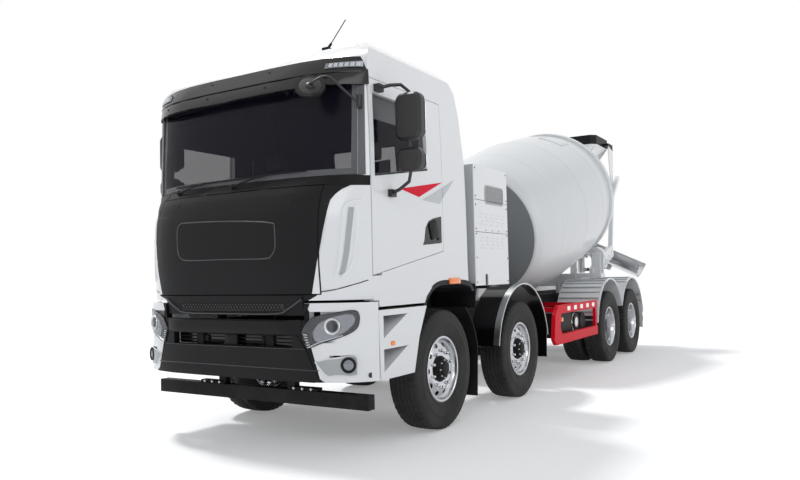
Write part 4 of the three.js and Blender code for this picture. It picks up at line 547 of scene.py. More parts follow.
def tyre_shape(centre, side, block_pattern):
    """A tyre section of (radius, width), carried round the axle. The tread is cut by grooves whose depth
    is a function of the angle and of the distance across the tread."""
    wall = [(287, 112), (300, 124), (318, 131), (322, 135), (330, 136), (334, 133), (372, 143), (412, 149),
            (416, 150), (424, 150), (428, 148), (468, 147), (498, 142), (516, 137), (526, 131), (536, 122)]
    across = np.linspace(112, -112, 33)
    crown = TYRE_R - 5.0 * (across / 112) ** 2
    section = np.array(wall + list(zip(crown, across)) + [(r, -x) for r, x in wall[::-1]])
    turns = 300
    angle = np.arange(turns) / turns * TAU
    r = np.repeat(section[:, 0][None], turns, 0)
    x = np.repeat(section[:, 1][None], turns, 0)
    a = np.repeat(angle[:, None], len(section), 1)
    on_tread = np.clip((r - 520) / 14, 0, 1)
    pitch = 60 if block_pattern else 50
    wave = 2 / math.pi * np.arcsin(np.sin(a * pitch))
    depth = np.zeros_like(r)
    for centre_x in (-62, -21, 21, 62):
        depth = np.maximum(depth, np.clip(1.6 - np.abs(x - centre_x - 5 * wave) / 4.5, 0, 1))
    shoulder = np.clip((np.abs(x) - (62 if not block_pattern else 24)) / 10, 0, 1)
    lug = np.clip(1.5 - np.abs(((a * pitch / TAU + 0.25) % 1) - 0.5) * pitch / TAU * 0.9, 0, 1)
    depth = np.maximum(depth, shoulder * lug * (1.0 if block_pattern else 0.75))
    r = r - TREAD_DEPTH * depth * on_tread
    rings = np.stack([side * x + centre[0], centre[1] + r * np.cos(a), centre[2] + r * np.sin(a)], -1)
    return tube_shape(rings, closed=True)


def with_holes(shape, cutters, name):
    """A shape with cutters taken out of it, worked out once by a Boolean modifier."""
    objects = []
    for label, (points, faces) in ((name, shape), (name + "_cut", cutters)):
        mesh = bpy.data.meshes.new(label)
        mesh.from_pydata(points.tolist(), [], faces)
        made = bpy.data.objects.new(label, mesh)
        bpy.context.scene.collection.objects.link(made)
        objects.append(made)
    body, tool = objects
    cut = body.modifiers.new("Cut", "BOOLEAN")
    cut.operation = "DIFFERENCE"
    cut.solver = "EXACT"
    cut.object = tool
    bpy.context.view_layer.update()
    result = bpy.data.meshes.new_from_object(body.evaluated_get(bpy.context.evaluated_depsgraph_get()))
    co = np.zeros(len(result.vertices) * 3)
    result.vertices.foreach_get("co", co)
    faces = [list(p.vertices) for p in result.polygons]
    for made in objects:
        bpy.data.objects.remove(made)
    return co.reshape(-1, 3), faces


def around(shape, count, start=0.0):
    """Copies of a shape spaced evenly round the X axis."""
    copies = []
    for k in range(count):
        t = start + k / count * TAU
        turn = np.array([[1, 0, 0], [0, math.cos(t), -math.sin(t)], [0, math.sin(t), math.cos(t)]])
        copies.append((np.asarray(shape[0]) @ turn.T, shape[1]))
    return merged(copies)


def oval_hole(radius, half_round, half_radial, x_low, x_high):
    """A cutter with an oval outline at a given distance from the axle."""
    t = np.arange(20) / 20 * TAU
    y = half_round * np.cos(t)
    z = radius + half_radial * np.sin(t)
    rings = [np.column_stack([np.full(20, x), y, z]) for x in (x_low, x_high)]
    return tube_shape(rings)


def front_rim_shape():
    """A polished disc wheel: flange, drop, a dished disc with ten oval holes, and a centre bore."""
    profile = [(118, 92), (150, 98), (185, 100), (212, 92), (238, 78), (254, 74), (266, 84), (272, 104),
               (276, 120), (283, 125), (292, 125.0), (298.5, 121), (297, 115), (288, 110), (286, 100),
               (286, -112),
               (298, -122), (290, -125), (276, -118), (262, -60), (250, 30), (238, 58), (205, 76), (150, 78),
               (118, 72), (118, 92)]
    body = turned(profile, (0, 0, 0), (1, 0, 0), 96)
    return with_holes(body, around(oval_hole(222, 28, 20, 30, 170), BOLTS, TAU / 20), "front_rim")


def nut_shape(radius, x_low, x_high, size):
    """A chrome nut cover standing on the disc: a wide foot, a six-sided barrel and a domed top."""
    t = np.arange(12) / 12 * TAU
    rings = []
    for x, r in ((x_low, size * 1.25), (x_low + 5, size * 1.2), (x_low + 7, size), (x_high - 9, size * 0.94),
                 (x_high - 3, size * 0.72), (x_high, size * 0.35)):
        hexed = r * (1 - 0.05 * (np.arange(12) % 2))
        rings.append(np.column_stack([np.full(12, x), hexed * np.cos(t), radius + hexed * np.sin(t)]))
    return tube_shape(rings)


def front_hub_shape():
    """The dark hub: a stepped drum, a bolted cap and a small centre cover."""
    hub = turned([(0, 60), (112, 60), (116, 70), (116, 98), (106, 104), (98, 128), (92, 134), (66, 136),
                  (62, 146), (54, 149), (0, 149)], (0, 0, 0), (1, 0, 0), 56)
    return hub, around(nut_shape(80, 130, 146, 7), 8)


def rear_rim_shape():
    """A deep-dished twin rim: a bright barrel, the disc far inside and ten holes."""
    mount = -172.5
    profile = [(132, mount + 16), (170, mount + 20), (205, mount + 28), (228, mount + 52), (240, -60),
               (256, 40),
               (264, 96), (273, 116), (281, 125), (292, 125), (298.5, 121), (296, 114), (287, 109),
               (286, 100),
               (286, -112), (298, -122), (288, -126), (262, -136), (262, -208), (288, -219), (298, -223),
               (286, -234),
               (286, -458), (298, -467), (286, -470), (268, -462), (246, mount - 40), (205, mount - 20),
               (132, mount - 18), (132, mount + 16)]
    body = turned(profile, (0, 0, 0), (1, 0, 0), 96)
    cutters = around(oval_hole(214, 24, 13, mount - 90, mount + 90), BOLTS, TAU / 20)
    return with_holes(body, cutters, "rear_rim")


def moved(shape, centre, side):
    """A shape drawn round the left end of an axle, put at a wheel of either side."""
    points, faces = shape
    points = points * np.array([side, 1.0, 1.0]) + np.asarray(centre, float)
    return points, (faces if side > 0 else [f[::-1] for f in faces])


def build_wheels():
    """Tyres, rims, hubs and nuts of the four front wheels and of the four pairs behind."""
    front, rear = front_rim_shape(), rear_rim_shape()
    hub, studs = front_hub_shape()
    nuts = around(nut_shape(NUT_CIRCLE, 97, 130, 16), BOLTS)
    rear_hub = turned([(0, -190), (131, -190), (131, -150), (122, -60), (108, -10), (100, 12), (60, 18),
                       (0, 19.5)],
                      (0, 0, 0), (1, 0, 0), 56)
    rear_nuts = merged([around(nut_shape(NUT_CIRCLE, -153, -118, 16), BOLTS),
                        around(nut_shape(76, 12, 19.5, 8), 10)])
    for number in (1, 2):
        for side_name, side in SIDES:
            body = f"front_wheel_{number}_{side_name}"
            centre = (side * FRONT_TRACK_HALF, AXLES[number - 1], TYRE_R)
            tag = f"{number}_{side_name}"
            made = piece(f"tyre_front_{tag}", *tyre_shape(centre, side, False), body, RUBBER, "tyre", 40)
            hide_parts(f"front_tyre_{tag}")
            made = piece(f"rim_front_{tag}", *moved(front, centre, side), body, CHROME, "chrome", 38)
            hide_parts(f"front_rim_{tag}")
            piece(f"hub_front_{tag}", *moved(hub, centre, side), body, CHASSIS, "chassis_paint", 38)
            piece(f"studs_front_{tag}", *moved(merged([studs, nuts]), centre, side), body, CHROME, "chrome",
                  38)
            body = f"rear_wheels_{number}_{side_name}"
            centre = (side * REAR_TRACK_HALF, AXLES[number + 1], TYRE_R)
            inner = (side * (REAR_TRACK_HALF - TWIN_SPACING), AXLES[number + 1], TYRE_R)
            made = piece(f"tyre_rear_{tag}_outer", *tyre_shape(centre, side, True), body, RUBBER, "tyre", 40)
            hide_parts(f"rear_tyre_{tag}_outer")
            made = piece(f"tyre_rear_{tag}_inner", *tyre_shape(inner, side, True), body, RUBBER, "tyre", 40)
            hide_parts(f"rear_tyre_{tag}_inner")
            made = piece(f"rims_rear_{tag}", *moved(rear, centre, side), body, CHROME, "silver_paint", 38)
            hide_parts(f"rear_rims_{tag}")
            piece(f"hub_rear_{tag}", *moved(rear_hub, centre, side), body, CHASSIS, "chassis_paint", 38)
            piece(f"studs_rear_{tag}", *moved(rear_nuts, centre, side), body, SATIN, "chrome", 38)


# ---- Drum -------------------------------------------------------------------------------------
DRUM_TILT = math.radians(14)
DRUM_HEAD = np.array([0.0, 3180.0, 1925.0])
DRUM_AXIS = np.array([0.0, math.cos(DRUM_TILT), math.sin(DRUM_TILT)])
DRUM_UP = np.array([0.0, -math.sin(DRUM_TILT), math.cos(DRUM_TILT)])


def drum_point(station, radius, angle):
    """A point of the drum: angle 0 is straight up and 90 degrees is the truck's left."""
    angle = np.asarray(angle, float)
    out = (DRUM_HEAD + np.multiply.outer(station + 0 * angle, DRUM_AXIS)
           + np.multiply.outer(radius * np.cos(angle), DRUM_UP)
           + np.multiply.outer(radius * np.sin(angle), np.array([1.0, 0, 0])))
    return out


SHELL = np.array([(0, 900), (30, 925), (90, 960), (300, 1012), (630, 1062), (1000, 1106), (1500, 1146),
                  (2000, 1148),
                  (2400, 1147), (2680, 1128), (2930, 1098), (3040, 1082), (3400, 926), (3800, 742),
                  (4250, 520)], float)


def shell_radius(station):
    """The shell's radius by station, with small raised weld beads at the seams."""
    radius = np.interp(station, SHELL[:, 0], SHELL[:, 1])
    for seam in (640, 1500, 2400, 3330, 3800):
        radius = radius - 1.5 + 3.0 * np.exp(-((station - seam) / 9.0) ** 2)
    return np.minimum(radius, 1147.9)


def build_drum():
    """The drum turned from one profile: head, shell with weld beads, running ring, lip and inside."""
    stations = np.unique(np.concatenate([np.linspace(0, 4250, 96),
                                         [631, 640, 649, 1491, 1500, 1509, 2391, 2400, 2409]]))
    outside = np.column_stack([shell_radius(stations), stations])
    outside = outside[(stations < 2925) | (stations > 3045)]
    before, after = outside[outside[:, 1] < 2925], outside[outside[:, 1] > 3045]
    ring = [(1096, 2930), (1128, 2930), (1135, 2936), (1135, 3034), (1128, 3040), (1080, 3040)]
    head = [(0, -60), (300, -52), (600, -38), (800, -26), (868, -16), (886, -8)]
    lip = [(524, 4236), (528, 4244), (522, 4250), (509, 4250), (505, 4240)]
    inside = [(730, 3800), (1062, 3050), (1120, 2400), (1120, 1500), (1040, 630), (890, 30), (0, -30)]
    profile = head + before.tolist() + ring + after[:-1].tolist() + lip + inside
    shape = turned(profile, DRUM_HEAD, DRUM_AXIS, 128)
    made = piece("drum_shell", *shape, "drum", DRUM_WHITE, "drum_paint", 28)
    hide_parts("drum")
    # The head disc takes the dark grey: painted shade of the head, which faces away from the light.
    disc = turned([(0, -66), (300, -58), (600, -44), (800, -31), (858, -22), (858, -16), (600, -34),
                   (0, -50)],
                  DRUM_HEAD, DRUM_AXIS, 96)
    piece("drum_head", *disc, "drum", HEAD_SHADE_GREY, "drum_paint", 30)
    shaft = turned([(0, -200), (146, -200), (149, -192), (149, -75), (170, -58), (0, -58)], DRUM_HEAD,
                   DRUM_AXIS, 48)
    piece("drum_shaft", *shaft, "drum", CHASSIS, "chassis_paint", 30)
    build_drum_hatch()


def build_drum_hatch():
    """A bolted inspection cover that follows the shell."""
    s = np.linspace(2160, 2560, 12)
    t = np.radians(np.linspace(14, 34, 14))
    outer = np.stack([drum_point(a, float(shell_radius(a)) + 9, t) for a in s])
    inner = np.stack([drum_point(a, float(shell_radius(a)) - 6, t) for a in s])
    parts = [slab_shape(outer, inner)]
    for a in np.linspace(2185, 2535, 5):
        for b in np.radians([15.6, 32.4]):
            base = drum_point(a, float(shell_radius(a)), b)
            out = base - (DRUM_HEAD + a * DRUM_AXIS)
            out /= np.linalg.norm(out)
            parts.append(rod(base + out * 4, base + out * 16, 9, 8))
    piece("drum_hatch", *merged(parts), "drum", DRUM_WHITE, "drum_paint", 30)


# ---- Cab surfaces -----------------------------------------------------------------------------
CAB_FRONT = -1570.0
FRONT_LIMIT = CAB_FRONT + 0.6
CAB_CORNER = -1195.0
LEVELS = np.array([
    # height, set back, half width, power, corner set back
    (1100, 60, 1212, 5.5, 0), (1162, 55, 1212, 5.5, 0), (1261, 36, 1208, 5.5, 0), (1500, 5, 1200, 5.5, 0),
    (1750, 0, 1200, 5.5, 0), (1900, 10, 1200, 5.3, 0), (2050, 50, 1200, 5.0, 0), (2106, 88, 1200, 4.6, 0),
    (2185, 145, 1200, 3.6, 0), (2500, 175, 1197, 3.4, 0), (2943, 226, 1184, 3.2, 0),
    (3010, 240, 1180, 3.2, 0), (3134, 320, 1172, 3.2, 20), (3230, 410, 1140, 3.0, 90),
    (3320, 540, 1030, 2.8, 220), (3400, 760, 810, 2.6, 480), (3440, 1080, 480, 2.4, 820),
])


def cab_level(z):
    """Set back, half width, power and corner set back at a height, read between the LEVELS."""
    return [np.interp(z, LEVELS[:, 0], LEVELS[:, k]) for k in range(1, 5)]


def cab_skin(u, z, out=0.0):
    """The cab's front surface. u runs from -1 at the right corner to 1, and the face falls back from its
    middle by bow * |u| ** power. out moves the point along the surface's normal, and nothing passes
    FRONT_LIMIT."""
    back, half, power, corner = cab_level(z)
    front = CAB_FRONT + back
    bow = CAB_CORNER + corner - front
    x = half * u
    y = front + bow * np.abs(u) ** power
    slope = bow * power * np.abs(u) ** (power - 1) * np.sign(u) / half
    norm = np.sqrt(1 + slope ** 2)
    return np.stack([x + out * slope / norm, np.maximum(y - out / norm, FRONT_LIMIT), z + 0 * u], -1)


EDGE_Z = [1205, 1260, 1457, 1560, 1721, 1874, 1990, 2051, 2091, 2131, 2162, 2185]
EDGE_X = [815, 834, 879, 900, 930, 954, 969, 1009, 1049, 1122, 1186, 1196]


BUMPER_FRONT = -1530
BUMPER_HALF = 1250.0
BUMPER_BOW = 300
BUMPER_POWER = 5.4


def bumper_skin(x, z, out=0.0):
    """The bumper's face: it falls back by bow * t ** power, with t = |X| over the half width."""
    t = np.clip(np.abs(x) / BUMPER_HALF, 0, 1)
    y = BUMPER_FRONT + BUMPER_BOW * t ** BUMPER_POWER
    slope = BUMPER_BOW * BUMPER_POWER * t ** (BUMPER_POWER - 1) * np.sign(x) / BUMPER_HALF
    norm = np.sqrt(1 + slope ** 2)
    return np.stack([x + out * slope / norm, y - out / norm, z + 0 * x], -1)


def patch(skin, low, high, z_values, columns=24, out=2.0, thick=6.0):
    """A closed sheet over a skin between two X limits that change with height."""
    z_values = np.asarray(z_values, float)
    t = np.linspace(0, 1, columns)
    left, right = (np.array([edge(z) for z in z_values])[:, None] for edge in (low, high))
    x = left + (right - left) * t[None]
    z = np.repeat(z_values[:, None], columns, 1)
    return slab_shape(skin(x, z, out), skin(x, z, out - thick))


def cab_face(x, z, out=0.0):
    """The cab's front surface by X and Z: cab_skin with u = X over the half width at that height."""
    return cab_skin(np.clip(x / cab_level(z)[1], -1, 1), z, out)


def ribbon_on(skin, path, half, out, steps=6, sink=5.0):
    """A thin raised line on a skin: a strip of constant width along a curve given by X and Z."""
    line = spline(np.asarray(path, float), steps)
    step = np.gradient(line, axis=0)
    step /= np.linalg.norm(step, axis=1)[:, None]
    side = np.stack([-step[:, 1], step[:, 0]], -1)
    across = np.array([-1.0, -0.4, 0.4, 1.0])
    x = line[:, :1] + across * half * side[:, :1]
    z = line[:, 1:] + across * half * side[:, 1:]
    rise = np.array([0.3, 1.0, 1.0, 0.3])
    outer = np.stack([skin(x[:, k], z[:, k], out * rise[k]) for k in range(4)], 1)
    inner = np.stack([skin(x[:, k], z[:, k], -sink) for k in range(4)], 1)
    return slab_shape(outer, inner)


def stud(point, direction, radius=10.0, height=8.0):
    """A round bolt head standing on a surface."""
    d = np.asarray(direction, float)
    d = d / np.linalg.norm(d)
    start = np.asarray(point, float) - d * 3
    profile = [(0, 0), (radius, 0), (radius, height * 0.6), (radius * 0.8, height), (0, height)]
    return turned(profile, start, d, 12)


def build_cab_front():
    """The black lid with its recessed panel, the cowl under the glass, the mesh strip and the crease in the
    lower panel.
    """
    lid_z = np.concatenate([np.linspace(1276, 1880, 10), np.linspace(1900, 2111, 6)])
    half = lambda z: min(float(np.interp(z, EDGE_Z, EDGE_X)), 897.0)
    skin = patch(cab_face, lambda z: -half(z), half, lid_z, 40, 3.0, 8.0)
    piece("lid_skin", *skin, "front_lid", BLACK, "black_plastic", 40)
    outline = [(-520, 1886), (-200, 1880), (200, 1862), (490, 1834), (532, 1800), (538, 1650), (500, 1580),
               (420, 1556),
               (0, 1562), (-420, 1566), (-520, 1590), (-556, 1660), (-560, 1840), (-520, 1886)]
    # The panel's outline is a raised line in the lighter black: a painted highlight along the edge of the
    # recess.
    line = ribbon_on(cab_face, outline, 6, 7.5)
    piece("lid_panel", *line, "front_lid", EDGE_HIGHLIGHT_BLACK, "black_plastic", 40)
    edge = lambda z: np.interp(z, EDGE_Z, EDGE_X)
    wing = patch(cab_face, lambda z: 905, edge, np.linspace(1580, 2116, 14), 10, 3.0, 8.0)
    crown = patch(cab_face, lambda z: 880, edge, np.linspace(2119, 2180, 6), 24, 3.2, 8.0)
    seam = ribbon_on(cab_face, [(560, 2108), (640, 2000), (700, 1950), (900, 1958), (968, 1962)], 3.0, 4.5)
    piece("cab_cowl", *both_sides(merged([wing, crown])), "cab", BLACK, "black_plastic", 40)
    corner = patch(cab_face, edge, lambda z: 897, np.linspace(1277, 1552, 8), 8, 3.4, 8.0)
    piece("lid_corners", *both_sides(corner), "front_lid", WHITE, "white_paint", 40)
    piece("lid_seams", *both_sides(seam), "front_lid", GLOSS_BLACK, "black_plastic", 40)
    lower = patch(cab_face, lambda z: -755, lambda z: 755, np.linspace(1112, 1264, 6), 40, 3.0, 8.0)
    # The crease is a raised strip in the lighter black: a painted highlight along the ridge of the lower
    # panel.
    crease = ribbon_on(cab_face,
                       [(-752, 1236), (-620, 1160), (-500, 1124), (0, 1120), (500, 1124), (620, 1160),
                                  (752, 1236)], 11, 20)
    piece("cab_lower_skin", *lower, "cab", BLACK, "black_plastic", 40)
    piece("cab_lower_crease", *crease, "cab", EDGE_HIGHLIGHT_BLACK, "black_plastic", 40)
    build_mesh_strip()
    build_corner_slots()


MESH_STEP = 33.0


def build_mesh_strip():
    """A strip of crossed bars set in the lower panel."""
    bars = []
    for k in range(34):
        x = -540 + k * MESH_STEP
        for lean in (1, -1):
            bars.append(ribbon_on(cab_face, [(x, 1146), (x + lean * MESH_STEP, 1196)], 2.4, 7.0, 3))
    frame_line = ribbon_on(cab_face, [(-575, 1140), (0, 1140), (598, 1142)], 5, 7.0)
    top_line = ribbon_on(cab_face, [(-560, 1202), (0, 1202), (582, 1204)], 5, 7.0)
    # A darker gloss-black sheet behind the crossed bars: painted shade in the strip's opening.
    back = patch(cab_face, lambda z: -560, lambda z: 580, np.linspace(1144, 1200, 3), 30, 3.6, 6.0)
    piece("mesh_strip", *merged(bars + [frame_line, top_line]), "cab", BLACK, "black_plastic", 40)
    piece("mesh_back_shade", *back, "cab", GLOSS_BLACK, "black_plastic", 40)


def build_corner_slots():
    """The slot in each white corner panel: a grey strip of painted shade for its hollow, with a raised fold
    on its outer side.
    """
    # A grey strip on the surface stands for the slot's hollow: painted shade where the recess falls dark.
    dark = ribbon_on(cab_face, [(1040, 1415), (1058, 1480), (1076, 1604), (1092, 1795), (1100, 1934)], 15,
                     1.6)
    fold = ribbon_on(cab_face,
                     [(1008, 1400), (1024, 1480), (1040, 1604), (1056, 1795), (1062, 1934), (1100, 1978),
                                (1150, 1990)], 12, 9.0)
    ridge = ribbon_on(cab_face, [(1040, 1392), (1096, 1470), (1118, 1604), (1130, 1795), (1128, 1950)], 10,
                      7.0)
    piece("corner_slots", *both_sides(dark), "cab", GREY, "silver_paint", 40)
    piece("corner_folds", *both_sides(merged([fold, ridge])), "cab", WHITE, "white_paint", 50)
    seam = ribbon_on(cab_face, [(850, 1284), (1000, 1306), (1120, 1345), (1180, 1372)], 3.5, 1.5)
    piece("corner_seams", *both_sides(seam), "cab", GLOSS_BLACK, "black_plastic", 40)
    pillar = patch(cab_face, lambda h: 1112, lambda h: np.interp(h, [2205, 2975], [1166, 1160]),
                   np.linspace(2190, 2975, 10), 10, 5.0, 8.0)
    piece("pillar_strips", *both_sides(pillar), "cab", PILLAR, "chrome", 40)


def build_visor():
    """Details of the visor: studs, marker strips at both ends and a lip."""
    def on_visor(x, z, out=0.0):
        """The visor's face: it falls back by (share of the half width) to the power 4.6."""
        back = np.interp(z, [2902, 3005, 3136], [128, 150, 225])
        half = np.interp(z, [2902, 3005, 3136], [1194, 1190, 1166])
        front = CAB_FRONT + back
        t = np.clip(np.abs(x) / half, 0, 1)
        y = front + (-1189 - front) * t ** 4.6
        slope = (-1189 - front) * 4.6 * t ** 3.6 * np.sign(x) / half
        norm = np.sqrt(1 + slope ** 2)
        return np.stack([x + out * slope / norm, y - out / norm, z + 0 * x], -1)

    def visor_ribbon(path, half_width, out):
        """A raised line on the visor along a curve given by X and Z."""
        line = spline(np.asarray(path, float), 8)
        outer = np.stack([on_visor(line[:, 0], line[:, 1] + k * half_width, out) for k in (-1, 0, 1)], 1)
        inner = np.stack([on_visor(line[:, 0], line[:, 1] + k * half_width, -5) for k in (-1, 0, 1)], 1)
        return slab_shape(outer, inner)

    studs = []
    for x in (-900, -330, 330, 900):
        for z in (3092, 2958):
            p = on_visor(np.array([x]), np.array([float(z)]))[0]
            q = on_visor(np.array([x]), np.array([float(z)]), 10.0)[0]
            studs.append(stud(p, q - p, 11, 8))
    piece("visor_studs", *merged(studs), "cab", GLOSS_BLACK, "black_plastic")
    crease = visor_ribbon([(-1150, 3004), (-600, 3004), (0, 3004), (600, 3004), (1150, 3004)], 5, 4)
    lower = visor_ribbon([(-1185, 2908), (-600, 2908), (0, 2908), (600, 2908), (1185, 2908)], 8, 6)
    piece("visor_lines", *merged([crease, lower]), "cab", GLOSS_BLACK, "black_plastic")
    lamps, cover = [], []
    for side in (1, -1):
        cover.append(visor_ribbon([(side * 880, 3060), (side * 1010, 3062), (side * 1110, 3064),
                                   (side * 1155, 3064)],
                                  24, 4))
        for k in range(6):
            x = side * (925 + 40 * k)
            lamps.append(visor_ribbon([(x - 14, 3062), (x, 3062), (x + 14, 3062)], 17, 8))
    piece("marker_bars", *merged(cover), "cab", LAMP, "chrome")
    piece("marker_tiles", *merged(lamps), "cab", WHITE_LAMP, "chrome")


def build_cab_extras():
    """The round front mirror, wipers and aerial."""
    centre, tilt = np.array([846.0, -1486.0, 2873.0]), np.array([-0.45, 0.72, -0.53])
    disc = turned([(0, -13), (80, -12), (108, -8), (117, 0), (114, 8), (106, 11), (0, 11)], centre, tilt, 48)
    knob = turned([(0, -28), (20, -27), (30, -22), (34, -8), (0, -8)], centre, tilt, 24)
    arm = swept([centre - 20 * tilt, centre - 36 * tilt + (18, 3, 4), (950, -1468, 2935),
                 (1010, -1440, 2925), (1080, -1380, 2840),
                 (1120, -1300, 2780), (1132, -1240, 2766)], 9.5, 12)
    clamp = pad_shape((1133, -1234, 2766), (16, 31, 54), 6, 8)
    bolts = [stud((1133, -1262, z), (0.2, -0.98, 0), 9, 12) for z in (2728, 2804)]
    piece("front_mirror", *merged([disc, knob, arm, clamp] + bolts), "cab", HOUSING, "black_plastic", 40)
    glass = turned([(0, 10), (100, 10), (100, 12), (0, 13)], centre, tilt, 48)
    piece("front_mirror_glass", *glass, "cab", MIRROR, "chrome", 40)
    wipers = []
    for x0, x1 in ((-760, 40), (-40, 720)):
        blade = [cab_skin(x / cab_level(2232)[1], 2232 + 8 * math.sin(x / 500), 13)
                 for x in np.linspace(x0, x1, 7)]
        wipers.append(swept(blade, 7, 8))
        mid = blade[3] + np.array([0, -9, 0])
        foot = cab_skin((x0 + 60) / 1200 if x0 < -500 else (x0 + 20) / 1200, 2166, 14)
        wipers.append(swept([foot, (foot + mid) / 2 + np.array([0, -14, 4]), mid], 9, 8))
        wipers.append(stud(foot + np.array([0, 16, 0]), (0, -0.9, 0.4), 20, 34))
    piece("wipers", *merged(wipers), "cab", BLACK, "black_plastic", 40)
    aerial = merged([pad_shape((430, -700, 3441), (36, 50, 14), 8),
                     rod((430, -700, 3450), (455, -680, 3500), 12),
                     rod((450, -684, 3492), (560, -600, 3720), 4.5, 8)])
    piece("aerial", *aerial, "cab", BLACK, "black_plastic", 40)


def rear_wall_y(z):
    """The middle of the cab's leaning rear wall, by height."""
    return np.interp(z, [2330, 2500, 2760], [512, 505, 461])


def build_rear_glass():
    """Tinted glass in the cab's rear window, leaning with the wall, in a black rubber surround."""
    x, z = np.meshgrid(np.linspace(-418, 418, 5), [2332, 2415, 2500, 2630, 2758])
    faces = [np.stack([x, rear_wall_y(z) + side, z], -1) for side in (3.0, -3.0)]
    piece("rear_glass", *slab_shape(*faces), "cab", TINT, "glass")
    rings = []
    for inset, out in ((0, -12), (0, 16), (20, 16), (20, -12)):
        line = rounded_outline(418 - inset, 213 - inset, 24, 5)
        height = 2545 + line[:, 1]
        rings.append(np.column_stack([line[:, 0], rear_wall_y(height) + out, height]))
    piece("rear_glass_rim", *tube_shape(np.array(rings).transpose(1, 0, 2), closed=True), "cab", FLAP,
          "black_plastic")


def side_patch(outline, out, thick=4.0):
    """A flat shape on the door's side, given by Y and Z, standing proud of the cab's widest face."""
    return prism_shape(outline, "x", 1200.0 - thick, 1200.0 + out)


def build_sides():
    """Stripes, handles, glass, sill seam and markers on both sides of the cab."""
    for name, _ in SIDES:
        put = partial(put_on, name)
        door = f"door_{name}"
        red = side_patch([(-769, 2118), (-457, 2073), (-34, 2240)], 1.5)
        grey = side_patch([(-405, 2052), (-76, 2040), (-34, 2090), (-34, 2190)], 1.2)
        put("stripe_red", red, STRIPE_RED, "red_paint", door)
        put("stripe_grey", grey, STRIPE_GREY, "silver_paint", door)
        put("stripe_tip", side_patch([(-24, 2095), (-24, 2195), (205, 2285)], 1.2), STRIPE_GREY,
            "silver_paint", "cab")
        handle = [(-406, 1660), (-380, 1700), (-352, 1812), (-300, 1872), (-215, 1900), (-62, 1928),
                  (-62, 1690),
                  (-90, 1684)]
        put("handle_dish", side_patch(handle, 1.0), GLOSS_BLACK, "black_plastic", door)
        grip = pad_shape((1206, -215, 1800), (70, 78, 7), 5, 24,
                         np.array([[0, 0.94, 0.34], [0, -0.34, 0.94], [1, 0, 0]]))
        lock = turned([(0, 0), (13, 0), (13, 8), (0, 8)], (1201, -130, 1722), (1, 0, 0), 20)
        put("handle_grip", merged([grip, lock]), BLACK, "black_plastic", door)
        build_door_glass(put, door)
        marker = pad_shape((1206, 155, 1339), (108, 27, 16), 6, 10, ON_SIDE)
        put("marker_lamp", marker, AMBER, "glass", "cab")
        put("arch_lip", arch_lip(), BLACK, "black_plastic", "cab")
        put("mirror_faces", mirror_faces(), MIRROR, "chrome", door)
        build_step_details(put)


def build_door_glass(put, door):
    """Tinted glass in the door's window, set a little inside the frame."""
    y = np.linspace(-1148, -292, 8)
    sill = np.interp(y, [-1140, -300], [2194, 2329])
    rows = []
    for k in np.linspace(0, 1, 6):
        z = sill + (2856 - sill) * k
        x = np.interp(z, [2185, 2500, 2943], [1196, 1193, 1180]) - 26
        rows.append(np.column_stack([x, y, z]))
    outer = np.array(rows)
    put("door_glass", slab_shape(outer, outer - np.array([6.0, 0, 0])), TINT, "glass", door)
    line = [(-1140, 2199), (-300, 2334)]
    strip = [(y0, z0) for y0, z0 in line] + [(y0, z0 - 14) for y0, z0 in line[::-1]]
    put("door_belt", side_patch(strip, 2.0), BLACK, "black_plastic", door)


def arch_lip():
    """The black lip along the wheel arch in the cab's side, with a lining that runs inboard."""
    outer = spline([(-436, 1100), (-420, 1165), (-382, 1222), (-262, 1306), (-110, 1346), (120, 1350),
                    (350, 1346),
                    (502, 1318), (562, 1256), (580, 1240)], 5)
    inner = spline([(-392, 1100), (-378, 1150), (-345, 1195), (-240, 1268), (-100, 1302), (120, 1306),
                    (335, 1302),
                    (478, 1278), (520, 1240), (528, 1228)], 5)
    rows = []
    for line, x in ((outer, 1150.0), (outer, 1207.0), (inner, 1207.0), (inner, 1150.0)):
        rows.append(np.column_stack([np.full(len(line), x), line]))
    lip = tube_shape(np.array(rows).transpose(1, 0, 2))
    lining = np.array([np.column_stack([np.full(len(inner), x), inner + np.array([0.0, d])])
                       for x, d in ((720.0, 0.0), (1150.0, 0.0), (1150.0, 9.0), (720.0, 9.0))])
    return merged([lip, tube_shape(lining.transpose(1, 0, 2))])


def mirror_faces():
    """Reflecting faces on the back of the two mirror housings."""
    parts = []
    for z, half in ((2668, 150), (2320, 66)):
        parts.append(pad_shape((1395, -825, z), (96, half, 4), 3, 30, ON_FRONT))
    return merged(parts)


def build_step_details(put):
    """Treads with raised bars, the side recess and the small marker beside the steps."""
    bars = []
    for z in (660, 920):
        for k in range(7):
            y = -1120 + k * 62
            bars.append(pad_shape((1216, y, z + 3), (5, 20, 4), 2, 4))
            bars.append(pad_shape((1180, y + 31, z + 3), (5, 20, 4), 2, 4))
    put("step_treads", merged(bars), STEEL, "silver_paint", "chassis")
    put("side_marker", pad_shape((1237, -985, 870), (26, 17, 9), 4, 10, ON_SIDE),
        AMBER, "glass", "chassis")
    wedges = [prism_shape([(-1112, z - 2), (-718, z - 2), (-718, z + 172), (-760, z + 168)], "x", 965,
                          1234.5)
              for z in (660, 920)]
    put("step_wedge", merged(wedges), WHITE, "white_paint", "chassis")
    # A dark sheet inboard of and behind the front arch: painted shade, standing in for the shaded chassis
    # parts and engine that fill this gap.
    wall = pad_shape((700, 150, 1190), (470, 110, 5), 2, 6, ON_SIDE)
    cross = pad_shape((800, 622, 1185), (395, 120, 5), 2, 6, ON_FRONT)
    put("splash_wall", merged([wall, cross]), FLAP, "black_plastic", "chassis")


